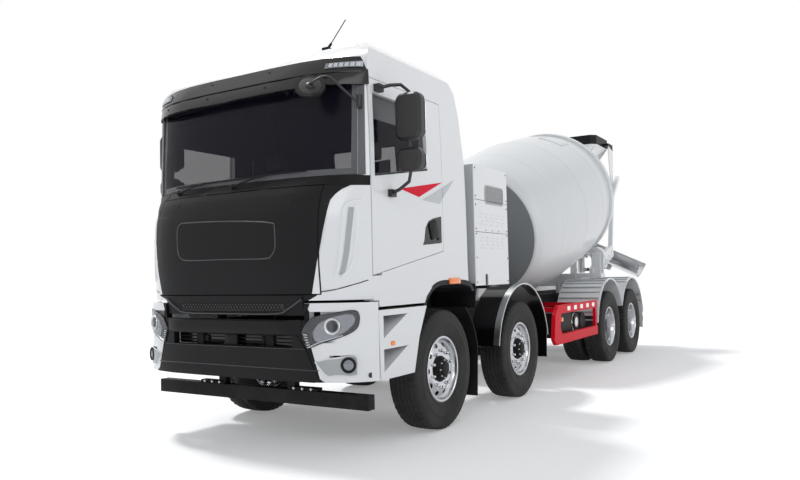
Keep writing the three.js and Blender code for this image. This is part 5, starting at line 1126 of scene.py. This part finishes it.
def build_bumper():
    """The black centre of the bumper, the lamps and their housings, the tow plug and the bar's plates."""
    low_edge = lambda z: np.interp(z, [607, 651, 862], [929, 869, 773])
    low = patch(bumper_skin, lambda z: -low_edge(z), low_edge, np.linspace(610, 860, 8), 40, 3.0, 8.0)
    top_edge = lambda z: np.interp(z, [960, 987, 1041, 1075], [698, 704, 733, 750])
    top = patch(bumper_skin, lambda z: -top_edge(z), top_edge, np.linspace(961, 1073, 5), 40, 3.0, 8.0)
    side_edge = lambda z: np.interp(z, [860, 962], [775, 700])
    side = patch(bumper_skin, lambda z: 655, side_edge, np.linspace(860, 962, 4), 6, 3, 8)
    shoulder = patch(bumper_skin, lambda z: 770, lambda z: np.interp(z, [1100, 1215], [771, 822]),
                     np.linspace(1105, 1203, 5), 5, 3.0, 8.0)
    # The folds are raised lines in the lighter black: a painted highlight along the bumper's folds.
    fold = ribbon_on(bumper_skin, [(-880, 696), (-500, 702), (500, 702), (880, 696)], 5, 6)
    upper_fold = ribbon_on(bumper_skin, [(-773, 857), (-400, 857), (400, 857), (773, 857)], 4, 6)
    parts = [low, top, ledge_shape(), both_sides(side), both_sides(shoulder)]
    piece("bumper_centre", *merged(parts), "chassis", BLACK, "black_plastic", 40)
    piece("bumper_folds", *merged([fold, upper_fold]), "chassis", EDGE_HIGHLIGHT_BLACK, "black_plastic", 40)
    post = pad_shape((0, -1500, 910), (70, 46, 10), 4, 8, ON_REAR)
    bars = [swept([(-650, -1470, z), (0, -1476, z), (650, -1470, z)], 4, 8) for z in (895, 925)]
    # A darker gloss-black sheet behind the bars: painted shade in the grille's opening.
    back = pad_shape((0, -1450, 910), (655, 46, 4), 2, 8, ON_REAR)
    piece("bumper_grille", *merged([post] + bars), "chassis", BLACK, "black_plastic", 40)
    piece("bumper_grille_shade", *back, "chassis", GLOSS_BLACK, "black_plastic", 40)
    for name, _ in SIDES:
        put = partial(put_on, name)
        build_headlamp(put)
        build_fog_lamp(put)
    plates, bolts = [], []
    for x0 in (-500, 520):
        plates.append(pad_shape((x0, -1198, 500), (150, 36, 14), 5, 10))
        for k in (-90, 0, 90):
            bolts.append(stud((x0 + k, -1234, 503), (0, -1, 0), 13, 14))
    piece("underrun_plates", *merged(plates), "chassis", CHASSIS, "chassis_paint")
    piece("underrun_bolts", *merged(bolts), "chassis", STEEL, "silver_paint")


def ledge_shape():
    """The bar above the grille: a chamfered section carried across the bumper and drawn in at its ends."""
    x = np.linspace(-742, 742, 41)
    draw = np.clip((742 - np.abs(x)) / 150, 0, 1) ** 0.6
    section = [(0, 1078), (22, 1076), (35, 1064), (37, 1020), (35, 982), (28, 968), (0, 962)]
    rings = []
    for out, z in section:
        rings.append(np.stack([bumper_skin(np.array([a]), np.array([float(z)]), out * d)[0] for a,
                               d in zip(x, draw)]))
    back = np.stack([bumper_skin(x, np.full(41, z), -5.0) for z in (962.0, 1078.0)])
    rings = np.concatenate([np.array(rings), back]).transpose(1, 0, 2)
    return tube_shape(rings)


HEAD_OUTLINE = [(742, 985), (775, 1036), (828, 1092), (930, 1122), (1040, 1140), (1112, 1150), (1150, 1138),
                (1162, 1090),
                (1150, 1020), (1112, 978), (1030, 940), (930, 908), (800, 862), (772, 900)]


def closed_curve(outline):
    """An outline as a smooth closed line, and its middle."""
    line = np.asarray(outline, float)
    line = spline(np.concatenate([line, line[:1]]), 4)[:-1]
    return line, line.mean(0)


def outline_patch(outline, out, thick, scale=1.0):
    """A closed sheet over the bumper inside an outline: rings of the outline shrunk towards its middle."""
    line, centre = closed_curve(outline)
    rings = [centre + (line - centre) * scale * k for k in (0.02, 0.35, 0.7, 1.0)]
    front = [bumper_skin(r[:, 0], r[:, 1], out) for r in rings]
    back = [bumper_skin(r[:, 0], r[:, 1], out - thick) for r in rings[::-1]]
    return tube_shape(np.array(front + back))


def outline_rim(outline, width, out, thick):
    """A raised edge on the bumper, of constant width inside an outline: five points across it."""
    line, centre = closed_curve(outline)
    reach = np.linalg.norm(line - centre, axis=1)[:, None]
    inner = line - (line - centre) / reach * width
    foot, shoulder = out - thick, out * 0.4
    section = ((line, foot), (line, shoulder), ((line + inner) / 2, out), (inner, shoulder), (inner, foot))
    rings = [bumper_skin(p[:, 0], p[:, 1], rise) for p, rise in section]
    points = np.array(rings).transpose(1, 0, 2)
    return tube_shape(points, closed=True)


def build_headlamp(put):
    """A lamp unit: dark bowl, chrome ring, projector, a slanted row of light tiles and a clear cover."""
    put("head_bowl", outline_patch(HEAD_OUTLINE, 2.5, 10), GLOSS_BLACK, "glass")
    put("head_rim", outline_rim(HEAD_OUTLINE, 11, 8, 12), GLOSS_BLACK, "black_plastic")
    normal = np.array([0.28, -0.96, 0.0])
    normal /= np.linalg.norm(normal)
    centre = bumper_skin(np.array([990.0]), np.array([1030.0]), 2.0)[0]
    ring = turned([(44, 0), (58, 2), (64, 10), (61, 15), (54, 11), (46, 6), (44, 0)], centre, normal, 40)
    reflector = outline_patch([(840, 985), (905, 1060), (1040, 1112), (1120, 1112), (1128, 1050),
                               (1060, 978), (960, 930),
                                (870, 915)], 4.5, 6)
    put("head_ring", ring, SATIN, "chrome")
    put("head_reflector", reflector, GREY_BOWL, "chrome")
    lens = turned([(0, 0), (47, 2), (46, 10), (30, 18), (0, 22)], centre, normal, 40)
    put("head_projector", lens, TINT, "glass")
    tiles = [ribbon_on(bumper_skin, [(764 + 7 * k, 968 - 20 * k), (792 + 6 * k, 963 - 18 * k)], 5, 9, 3)
             for k in range(6)]
    tiles.append(ribbon_on(bumper_skin, [(802, 870), (900, 912), (1000, 942), (1060, 960)], 5, 9))
    put("head_tiles", merged(tiles), WHITE_LAMP, "chrome")
    cover = outline_patch(HEAD_OUTLINE, 11, 3, 0.97)
    put("head_cover", cover, LENS, "glass")


def build_fog_lamp(put):
    """The fog lamp in its dish, and the round plug of the towing eye beside it."""
    outline = [(850, 762), (960, 790), (1100, 806), (1146, 800), (1150, 700), (1138, 654), (1000, 654),
               (930, 660)]
    put("fog_dish", outline_patch(outline, 2.0, 8), GREY, "silver_paint")
    put("fog_edge", outline_rim(outline, 12, 5, 10), WHITE, "white_paint")
    centre = bumper_skin(np.array([1092.0]), np.array([738.0]), 2.0)[0]
    normal = np.array([0.42, -0.9, 0.0])
    put("fog_ring", turned([(38, 0), (58, 0), (60, 14), (50, 18), (40, 8), (38, 0)], centre, normal, 32),
        BLACK, "black_plastic")
    put("fog_glass", turned([(0, 0), (40, 0), (39, 9), (20, 13), (0, 14)], centre, normal, 32), LAMP,
        "chrome")
    tow = bumper_skin(np.array([1215.0]), np.array([655.0]), 0.0)[0]
    put("tow_plug", turned([(0, -4), (20, -4), (20, 3), (0, 4)], tow, (0.95, -0.3, 0), 24), GLOSS_BLACK,
        "black_plastic")


# ---- Middle and rear --------------------------------------------------------------------------
def build_cabinet():
    """Bolts, louvres, seams and a barred window on both sides of the tall cabinet, and a sheet across its
    front.
    """
    for name, _ in SIDES:
        put = partial(put_on, name)
        bolts = []
        for y in (672, 1440):
            for z in (2462, 2180, 2092, 1850, 1800, 1560, 1316):
                bolts.append(stud((1201, y, z), (1, 0, 0), 9, 5))
        for y in (900, 1060, 1220):
            bolts.append(stud((1201, y, 1842), (1, 0, 0), 7, 5))
        put("cabinet_bolts", merged(bolts), GLOSS_BLACK, "black_plastic")
        slats = []
        for base in (1900, 1660):
            for row in range(4):
                for k in range(5):
                    y = 800 + 130 * k + (30 if row % 2 else 0)
                    z = base + 36 * row
                    profile = [(y - 34, z - 5), (y + 34, z - 5), (y + 26, z + 7), (y - 26, z + 7)]
                    slats.append(prism_shape(profile, "x", 1198, 1205))
        put("cabinet_louvres", merged(slats), WHITE, "white_paint")
        seams = [pad_shape((1200, 1055, z), (405, 2.5, 1.6), 0.6, 1.5, ON_SIDE)
                 for z in (1820, 2145)]
        slot = pad_shape((1200, 893, 1335), (30, 62, 2.2), 1, 26, ON_SIDE)
        put("cabinet_seams", merged(seams + [slot]), GLOSS_BLACK, "black_plastic")
        put("cabinet_window", pad_shape((1200, 1122, 2212), (225, 92, 2.5), 1, 40, ON_SIDE), TINT, "glass")
        line = [(1122 + p[0], 2212 + p[1]) for p in rounded_outline(232, 99, 46, 5)]
        rim = [np.array([[1199, *p], [1206, *p], [1206, *q], [1199, *q]]) for p, q in
               zip(line, [(1122 + p[0], 2212 + p[1]) for p in rounded_outline(220, 87, 38, 5)])]
        put("cabinet_window_rim", tube_shape(np.array(rim), closed=True), STEEL, "silver_paint")
        wires = [rod((1204, 1122 - 200 + 50 * k, 2126), (1204, 1122 - 200 + 50 * k, 2298), 2.5, 6)
                 for k in range(9)]
        wires += [rod((1204, 905, 2212 + d), (1204, 1340, 2212 + d), 2.5, 6) for d in (-45, 0, 45)]
        put("cabinet_wires", merged(wires), STEEL, "silver_paint")
    sheet = pad_shape((0, 636, 1890), (1194, 606, 3), 1, 6, ON_FRONT)
    piece("cabinet_front", *sheet, "chassis", GREY, "silver_paint")


def build_guards():
    """Reflecting squares, a lamp and tank caps on the side guards."""
    for name, _ in SIDES:
        put = partial(put_on, name)
        squares = [pad_shape((1240, 3330 + 270 * k, 922), (58, 28, 2), 1, 6, ON_SIDE) for k in range(5)]
        # The squares glow a little: painted light on the white reflectors.
        put("guard_squares", merged(squares), GLOWING_REFLECTOR, "white_paint")
        folds = [swept([(1240, 2825, z), (1240, 3700, z), (1240, 4590, z)], 4, 6)
                 for z in (884, 960, 498, 596)]
        put("guard_folds", merged(folds), RED, "red_paint")
        put("guard_lamp", pad_shape((1222, 3080, 790), (32, 26, 14), 5, 8, ON_SIDE), AMBER, "glass")
        cap = turned([(0, -6), (120, -4), (126, 4), (118, 22), (60, 34), (0, 37)], (1108, 3940, 700),
                     (1, 0, 0), 40)
        put("tank_cap", cap, SATIN, "silver_paint")


def arch_sheet(axle, radius, x_low, x_high, low, high, thick):
    """A curved sheet over a wheel between two angles: X by angle at the outer and at the inner radius."""
    x, t = np.meshgrid(np.linspace(x_low, x_high, 6), np.radians(np.linspace(low, high, 26)))
    outer, inner = (
        np.stack([x, axle + r * np.cos(t), TYRE_R + r * np.sin(t)], -1) for r in (radius, radius - thick)
    )
    return slab_shape(outer, inner)


def build_fenders():
    """Ribs and bright edge strips on the fenders."""
    for name, _ in SIDES:
        put = partial(put_on, name, smooth=30)
        edge = arch_sheet(AXLES[1], 741, 1150, 1219, 8, 172, 12)
        put("second_fender_edge", edge, SATIN, "silver_paint")
        ribs, edges = [], []
        for axle, low, high in ((AXLES[2], 62, 172), (AXLES[3], 8, 118)):
            edges.append(arch_sheet(axle, 742, 1222, 1247, low, high, 14))
            for angle in np.arange(low + 8, high, 9):
                t = math.radians(angle)
                c = np.array([0, axle + 738 * math.cos(t), TYRE_R + 738 * math.sin(t)])
                axes = np.array([[1, 0, 0], [0, -math.sin(t), math.cos(t)], [0, math.cos(t), math.sin(t)]])
                ribs.append(pad_shape(c + np.array([915, 0, 0]), (300, 11, 5), 3, 8, axes))
        put("rear_fender_ribs", merged(ribs), GREY, "silver_paint")
        put("rear_fender_edges", merged(edges), WHITE, "white_paint")


def build_rear():
    """Bolts on the slanted beams, and the tail lamps in their cases."""
    bolts = []
    for side in (1, -1):
        for k in np.linspace(0.12, 0.9, 6):
            p = np.array([side * 731, 6198 + (7510 - 6198) * k, 1330 + 450 * k])
            bolts.append(stud(p, (side, 0, 0), 12, 7))
    piece("beam_bolts", *merged(bolts), "chassis", STEEL, "silver_paint")
    lamps, cases = [], []
    for side in (1, -1):
        for k, wide in ((920, 34), (1000, 38), (1080, 34), (1145, 22)):
            lamps.append(pad_shape((side * k, 7726, 695), (wide, 42, 8), 4, 10, ON_REAR))
        cases.append(pad_shape((side * 1030, 7712, 695), (152, 56, 10), 4, 12, ON_REAR))
    piece("tail_lenses", *merged(lamps), "chassis", RED_LENS, "glass")
    piece("tail_cases", *merged(cases), "chassis", BLACK, "black_plastic")


def finish_nodes():
    """Materials and softened edges for the CAD nodes that stay in view."""
    looks = {
        "cab_body": (WHITE, 0.006), "cab_front": (WHITE, 0.006), "cab_roof": (WHITE, 0.01),
        "front_lid": (BLACK, 0.006),
        "windscreen": (TINT, 0.0), "sun_visor": (GLOSS_BLACK, 0.003), "dashboard": (TRIM, 0.01),
        "door_left": (WHITE, 0.004), "door_right": (WHITE, 0.004), "front_bumper": (WHITE, 0.006),
        "step_panel_left": (WHITE, 0.005), "step_panel_right": (WHITE, 0.005),
        "chassis_frame": (CHASSIS, 0.004),
        "engine_block": (CHASSIS, 0.01), "equipment_cabinet": (WHITE, 0.005),
        "battery_box": (CHASSIS, 0.008),
        "fuel_tank": (CHASSIS, 0.005), "rear_bar": (CHASSIS, 0.004), "second_fenders": (GLOSS_BLACK, 0.003),
        "side_guard_left": (RED, 0.004), "side_guard_right": (RED, 0.004),
        "rear_fender_left": (WHITE, 0.003),
        "rear_fender_right": (WHITE, 0.003), "front_axle_1": (CHASSIS, 0.005),
        "front_axle_2": (CHASSIS, 0.005),
        "rear_bogie": (CHASSIS, 0.005), "drum_pedestal": (DRUM_WHITE, 0.006), "rear_support": (WHITE, 0.004),
        "hopper": (BLACK, 0.004), "discharge_funnel": (DRUM_WHITE, 0.003), "chute_bracket": (STEEL, 0.004),
        "chute": (SATIN, 0.003), "chute_strut_barrel": (CHASSIS, 0.003), "chute_strut_rod": (CHROME, 0.0),
    }
    for number in (1, 2):
        for side in ("left", "right"):
            looks[f"knuckle_{number}_{side}"] = (CHASSIS, 0.004)
    for node, (look, width) in looks.items():
        soften(node, look, width)
    cab_middle = Vector((0, SHIFT_Y - 0.4, 2.2))

    def inside(face_centre, normal):
        """A face of the cab that looks into it."""
        near = abs(face_centre.x) < 1.13 and SHIFT_Y - 1.42 < face_centre.y < SHIFT_Y + 0.5
        return near and 1.42 < face_centre.z < 3.36 and normal.dot(cab_middle - face_centre) > 0.02

    def dark_front(c, n):
        """The black middle of the cab's front: round the lid, under the screen and the lower panel."""
        y = c.y - SHIFT_Y
        screen = 2.106 < c.z < 2.21 and y < -1.2
        lid = abs(c.x) < 0.915 and 1.262 < c.z < 2.13
        mirror = c.z > 2.6 and y < -1.27 and c.x > 0.6
        return c.z < 1.27 and abs(c.x) < 0.8 or screen or lid or mirror or y > -1.2 and c.z < 1.42

    repaint("cab_front", (BLACK, dark_front), (TRIM, inside))
    repaint("cab_body", (CHASSIS, lambda c, n: n.z < -0.4 and c.z < 1.45), (TRIM, inside))
    repaint("cab_roof", (TRIM, inside))
    for side in ("left", "right"):
        repaint(f"door_{side}", (HOUSING, lambda c, n: abs(c.x) > 1.2035), (TRIM, inside))
    repaint("front_bumper", (CHASSIS, lambda c, n: c.z < 0.6 or (c.y > SHIFT_Y - 1.5 and abs(c.x) < 0.8)),
            (BLACK, lambda c, n: abs(c.x) < 0.79))
    repaint("hopper", (WHITE, lambda c, n: c.z < 3.72))


def repaint(node, *rules):
    """Gives a CAD node further materials: each rule's look goes on the faces that pass its test."""
    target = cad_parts[node]
    turn = target.matrix_world.to_3x3()
    start = len(target.data.materials)
    for look, _ in rules:
        target.data.materials.append(look)
    for face in target.data.polygons:
        centre, normal = target.matrix_world @ face.center, turn @ face.normal
        for k, (_, test) in enumerate(rules):
            if test(centre, normal):
                face.material_index = start + k
                break


def build_seats():
    """Padded seats and a bunk in place of the plain CAD blocks, on plain bases."""
    z0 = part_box("seats")[0].z * 1000
    flat = np.eye(3)
    lean = np.array([[1, 0, 0], [0, 0.06, 0.998], [0, -0.998, 0.06]])
    pads = [("bunk_pad", (0, 165, 1845), (990, 330, 55), flat)]
    bases = [pad_shape((0, 165, (z0 + 1790) / 2), (980, 322, (1790 - z0) / 2), 12, 40)]
    for name, side in SIDES:
        x = side * 570
        pads += [(f"seat_cushion_{name}", (x, -475, 1788), (232, 290, 66), flat),
                 (f"seat_back_{name}", (x, -262, 2160), (208, 312, 62), lean),
                 (f"head_rest_{name}", (x, -262, 2556), (120, 80, 52), lean)]
        bases.append(pad_shape((x, -450, (z0 + 1720) / 2), (140, 230, (1720 - z0) / 2), 12, 30))
    for name, centre, half, axes in pads:
        made = piece(name, *cushion_shape(centre, half, axes), "cab", CLOTH, "cab_trim", 60)
        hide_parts("seats")
    piece("seat_bases", *merged(bases), "cab", TRIM, "cab_trim", 40)


def cushion_shape(centre, half, axes, count=25):
    """A stuffed pad: both faces rise by (1 - a^4)(1 - b^4) to the power 0.35, with sewn channels above."""
    t = np.sin(np.linspace(-1, 1, count) * math.pi / 2)
    a, b = np.meshgrid(t, t, indexing="ij")
    swell = np.clip((1 - a ** 4) * (1 - b ** 4), 0, 1) ** 0.35
    channel = 0.10 * sum(np.exp(-((b - line) / 0.03) ** 2) for line in (-0.36, 0.36))
    pull = 1 - 0.03 * (1 - a ** 2) * b ** 2 - 0.03 * (1 - b ** 2) * a ** 2
    upper = np.stack([a * half[0] * pull, b * half[1] * pull, half[2] * (swell * (1 - channel))], -1)
    lower = np.stack([a * half[0] * pull, b * half[1] * pull, -half[2] * swell - 0.5], -1)
    return slab_shape(np.asarray(centre) + upper @ axes, np.asarray(centre) + lower @ axes)


# ---- Studio -----------------------------------------------------------------------------------
def seen_rays(tree):
    """One for the rays that look at the backdrop, straight, in metal or through glass."""
    path = tree.nodes.new("ShaderNodeLightPath")
    seen = math_node(tree, "MAXIMUM", path.outputs["Is Camera Ray"], path.outputs["Is Glossy Ray"])
    return math_node(tree, "MAXIMUM", seen, path.outputs["Is Transmission Ray"])


def build_studio():
    """A pale floor, three square lamps, a soft sun, and a backdrop that looks white."""
    floor = bpy.data.meshes.new("floor")
    size = 40.0
    line = np.linspace(-size, size, 9)
    points = [(x, y, 0.0) for y in line for x in line]
    floor.from_pydata(points, [], grid_faces(9, 9)[:, ::-1].tolist())
    ground = bpy.data.objects.new("floor", floor)
    bpy.context.scene.collection.objects.link(ground)
    look = bpy.data.materials.new("StudioFloor")
    look.use_nodes = True
    surface = look.node_tree.nodes["Principled BSDF"]
    surface.inputs["Base Color"].default_value = (0.90, 0.90, 0.90, 1)
    surface.inputs["Roughness"].default_value = 0.8
    surface.inputs["Specular IOR Level"].default_value = 0.0
    surface.inputs["Emission Color"].default_value = (1, 1, 1, 1)
    seen = seen_rays(look.node_tree)
    look.node_tree.links.new(math_node(look.node_tree, "MULTIPLY", seen, 0.24),
                             surface.inputs["Emission Strength"])
    floor.materials.append(look)
    for name, spot, aim, energy, wide in (
        ("key", (7.0, -15.0, 8.0), (0.0, -3.0, 1.6), 230, 6.0),
        ("side", (14.0, 1.0, 6.0), (0.0, 0.0, 1.4), 230, 6.0),
        ("rim", (-9.0, 4.0, 9.0), (0.0, 0.0, 2.0), 110, 5.0),
    ):
        data = bpy.data.lights.new(name, "AREA")
        data.energy = energy
        data.shape = "SQUARE"
        data.size = wide
        lamp = bpy.data.objects.new(name, data)
        lamp.location = spot
        lamp.rotation_euler = (Vector(aim) - Vector(spot)).to_track_quat("-Z", "Y").to_euler()
        bpy.context.scene.collection.objects.link(lamp)
    sun = bpy.data.lights.new("sun", "SUN")
    sun.energy = 1.7
    sun.angle = math.radians(9)
    lamp = bpy.data.objects.new("sun", sun)
    lamp.rotation_euler = Vector((4.5, -0.8, -8.0)).to_track_quat("-Z", "Y").to_euler()
    bpy.context.scene.collection.objects.link(lamp)
    world = bpy.data.worlds.new("Studio")
    bpy.context.scene.world = world
    world.use_nodes = True
    tree = world.node_tree
    tree.nodes.clear()
    output = tree.nodes.new("ShaderNodeOutputWorld")
    light = tree.nodes.new("ShaderNodeBackground")
    light.inputs["Color"].default_value = (0.92, 0.95, 1.0, 1)
    light.inputs["Strength"].default_value = 0.5
    pale = tree.nodes.new("ShaderNodeBackground")
    pale.inputs["Color"].default_value = (1, 1, 1, 1)
    pale.inputs["Strength"].default_value = 1.0
    mix = tree.nodes.new("ShaderNodeMixShader")
    tree.links.new(seen_rays(tree), mix.inputs[0])
    tree.links.new(light.outputs[0], mix.inputs[1])
    tree.links.new(pale.outputs[0], mix.inputs[2])
    tree.links.new(mix.outputs[0], output.inputs[0])


def build_camera():
    """The camera: 31 degrees round from the front, low, on a 32 mm lens."""
    yaw, pitch, roll = -0.5494, 0.0481, -0.0218
    look = Vector((math.sin(yaw) * math.cos(pitch), math.cos(yaw) * math.cos(pitch), math.sin(pitch)))
    right = look.cross(Vector((0, 0, 1))).normalized()
    up = right.cross(look)
    across = right * math.cos(roll) + up * math.sin(roll)
    above = up * math.cos(roll) - right * math.sin(roll)
    data = bpy.data.cameras.new("Camera")
    data.lens = 32.118
    data.sensor_width = 36.0
    camera = bpy.data.objects.new("Camera", data)
    eye = (4.2571, -5.7790 + SHIFT_Y, 1.4103)
    camera.matrix_world = Matrix((
        (across.x, above.x, -look.x, eye[0]), (across.y, above.y, -look.y, eye[1]),
        (across.z, above.z, -look.z, eye[2]), (0, 0, 0, 1),
    ))
    bpy.context.scene.collection.objects.link(camera)
    bpy.context.scene.camera = camera


bpy.context.scene.view_settings.view_transform = "Standard"
finish_nodes()
build_wheels()
build_drum()
build_cab_front()
build_visor()
build_cab_extras()
build_rear_glass()
build_sides()
build_bumper()
build_cabinet()
build_guards()
build_fenders()
build_rear()
build_seats()
build_studio()
build_camera()
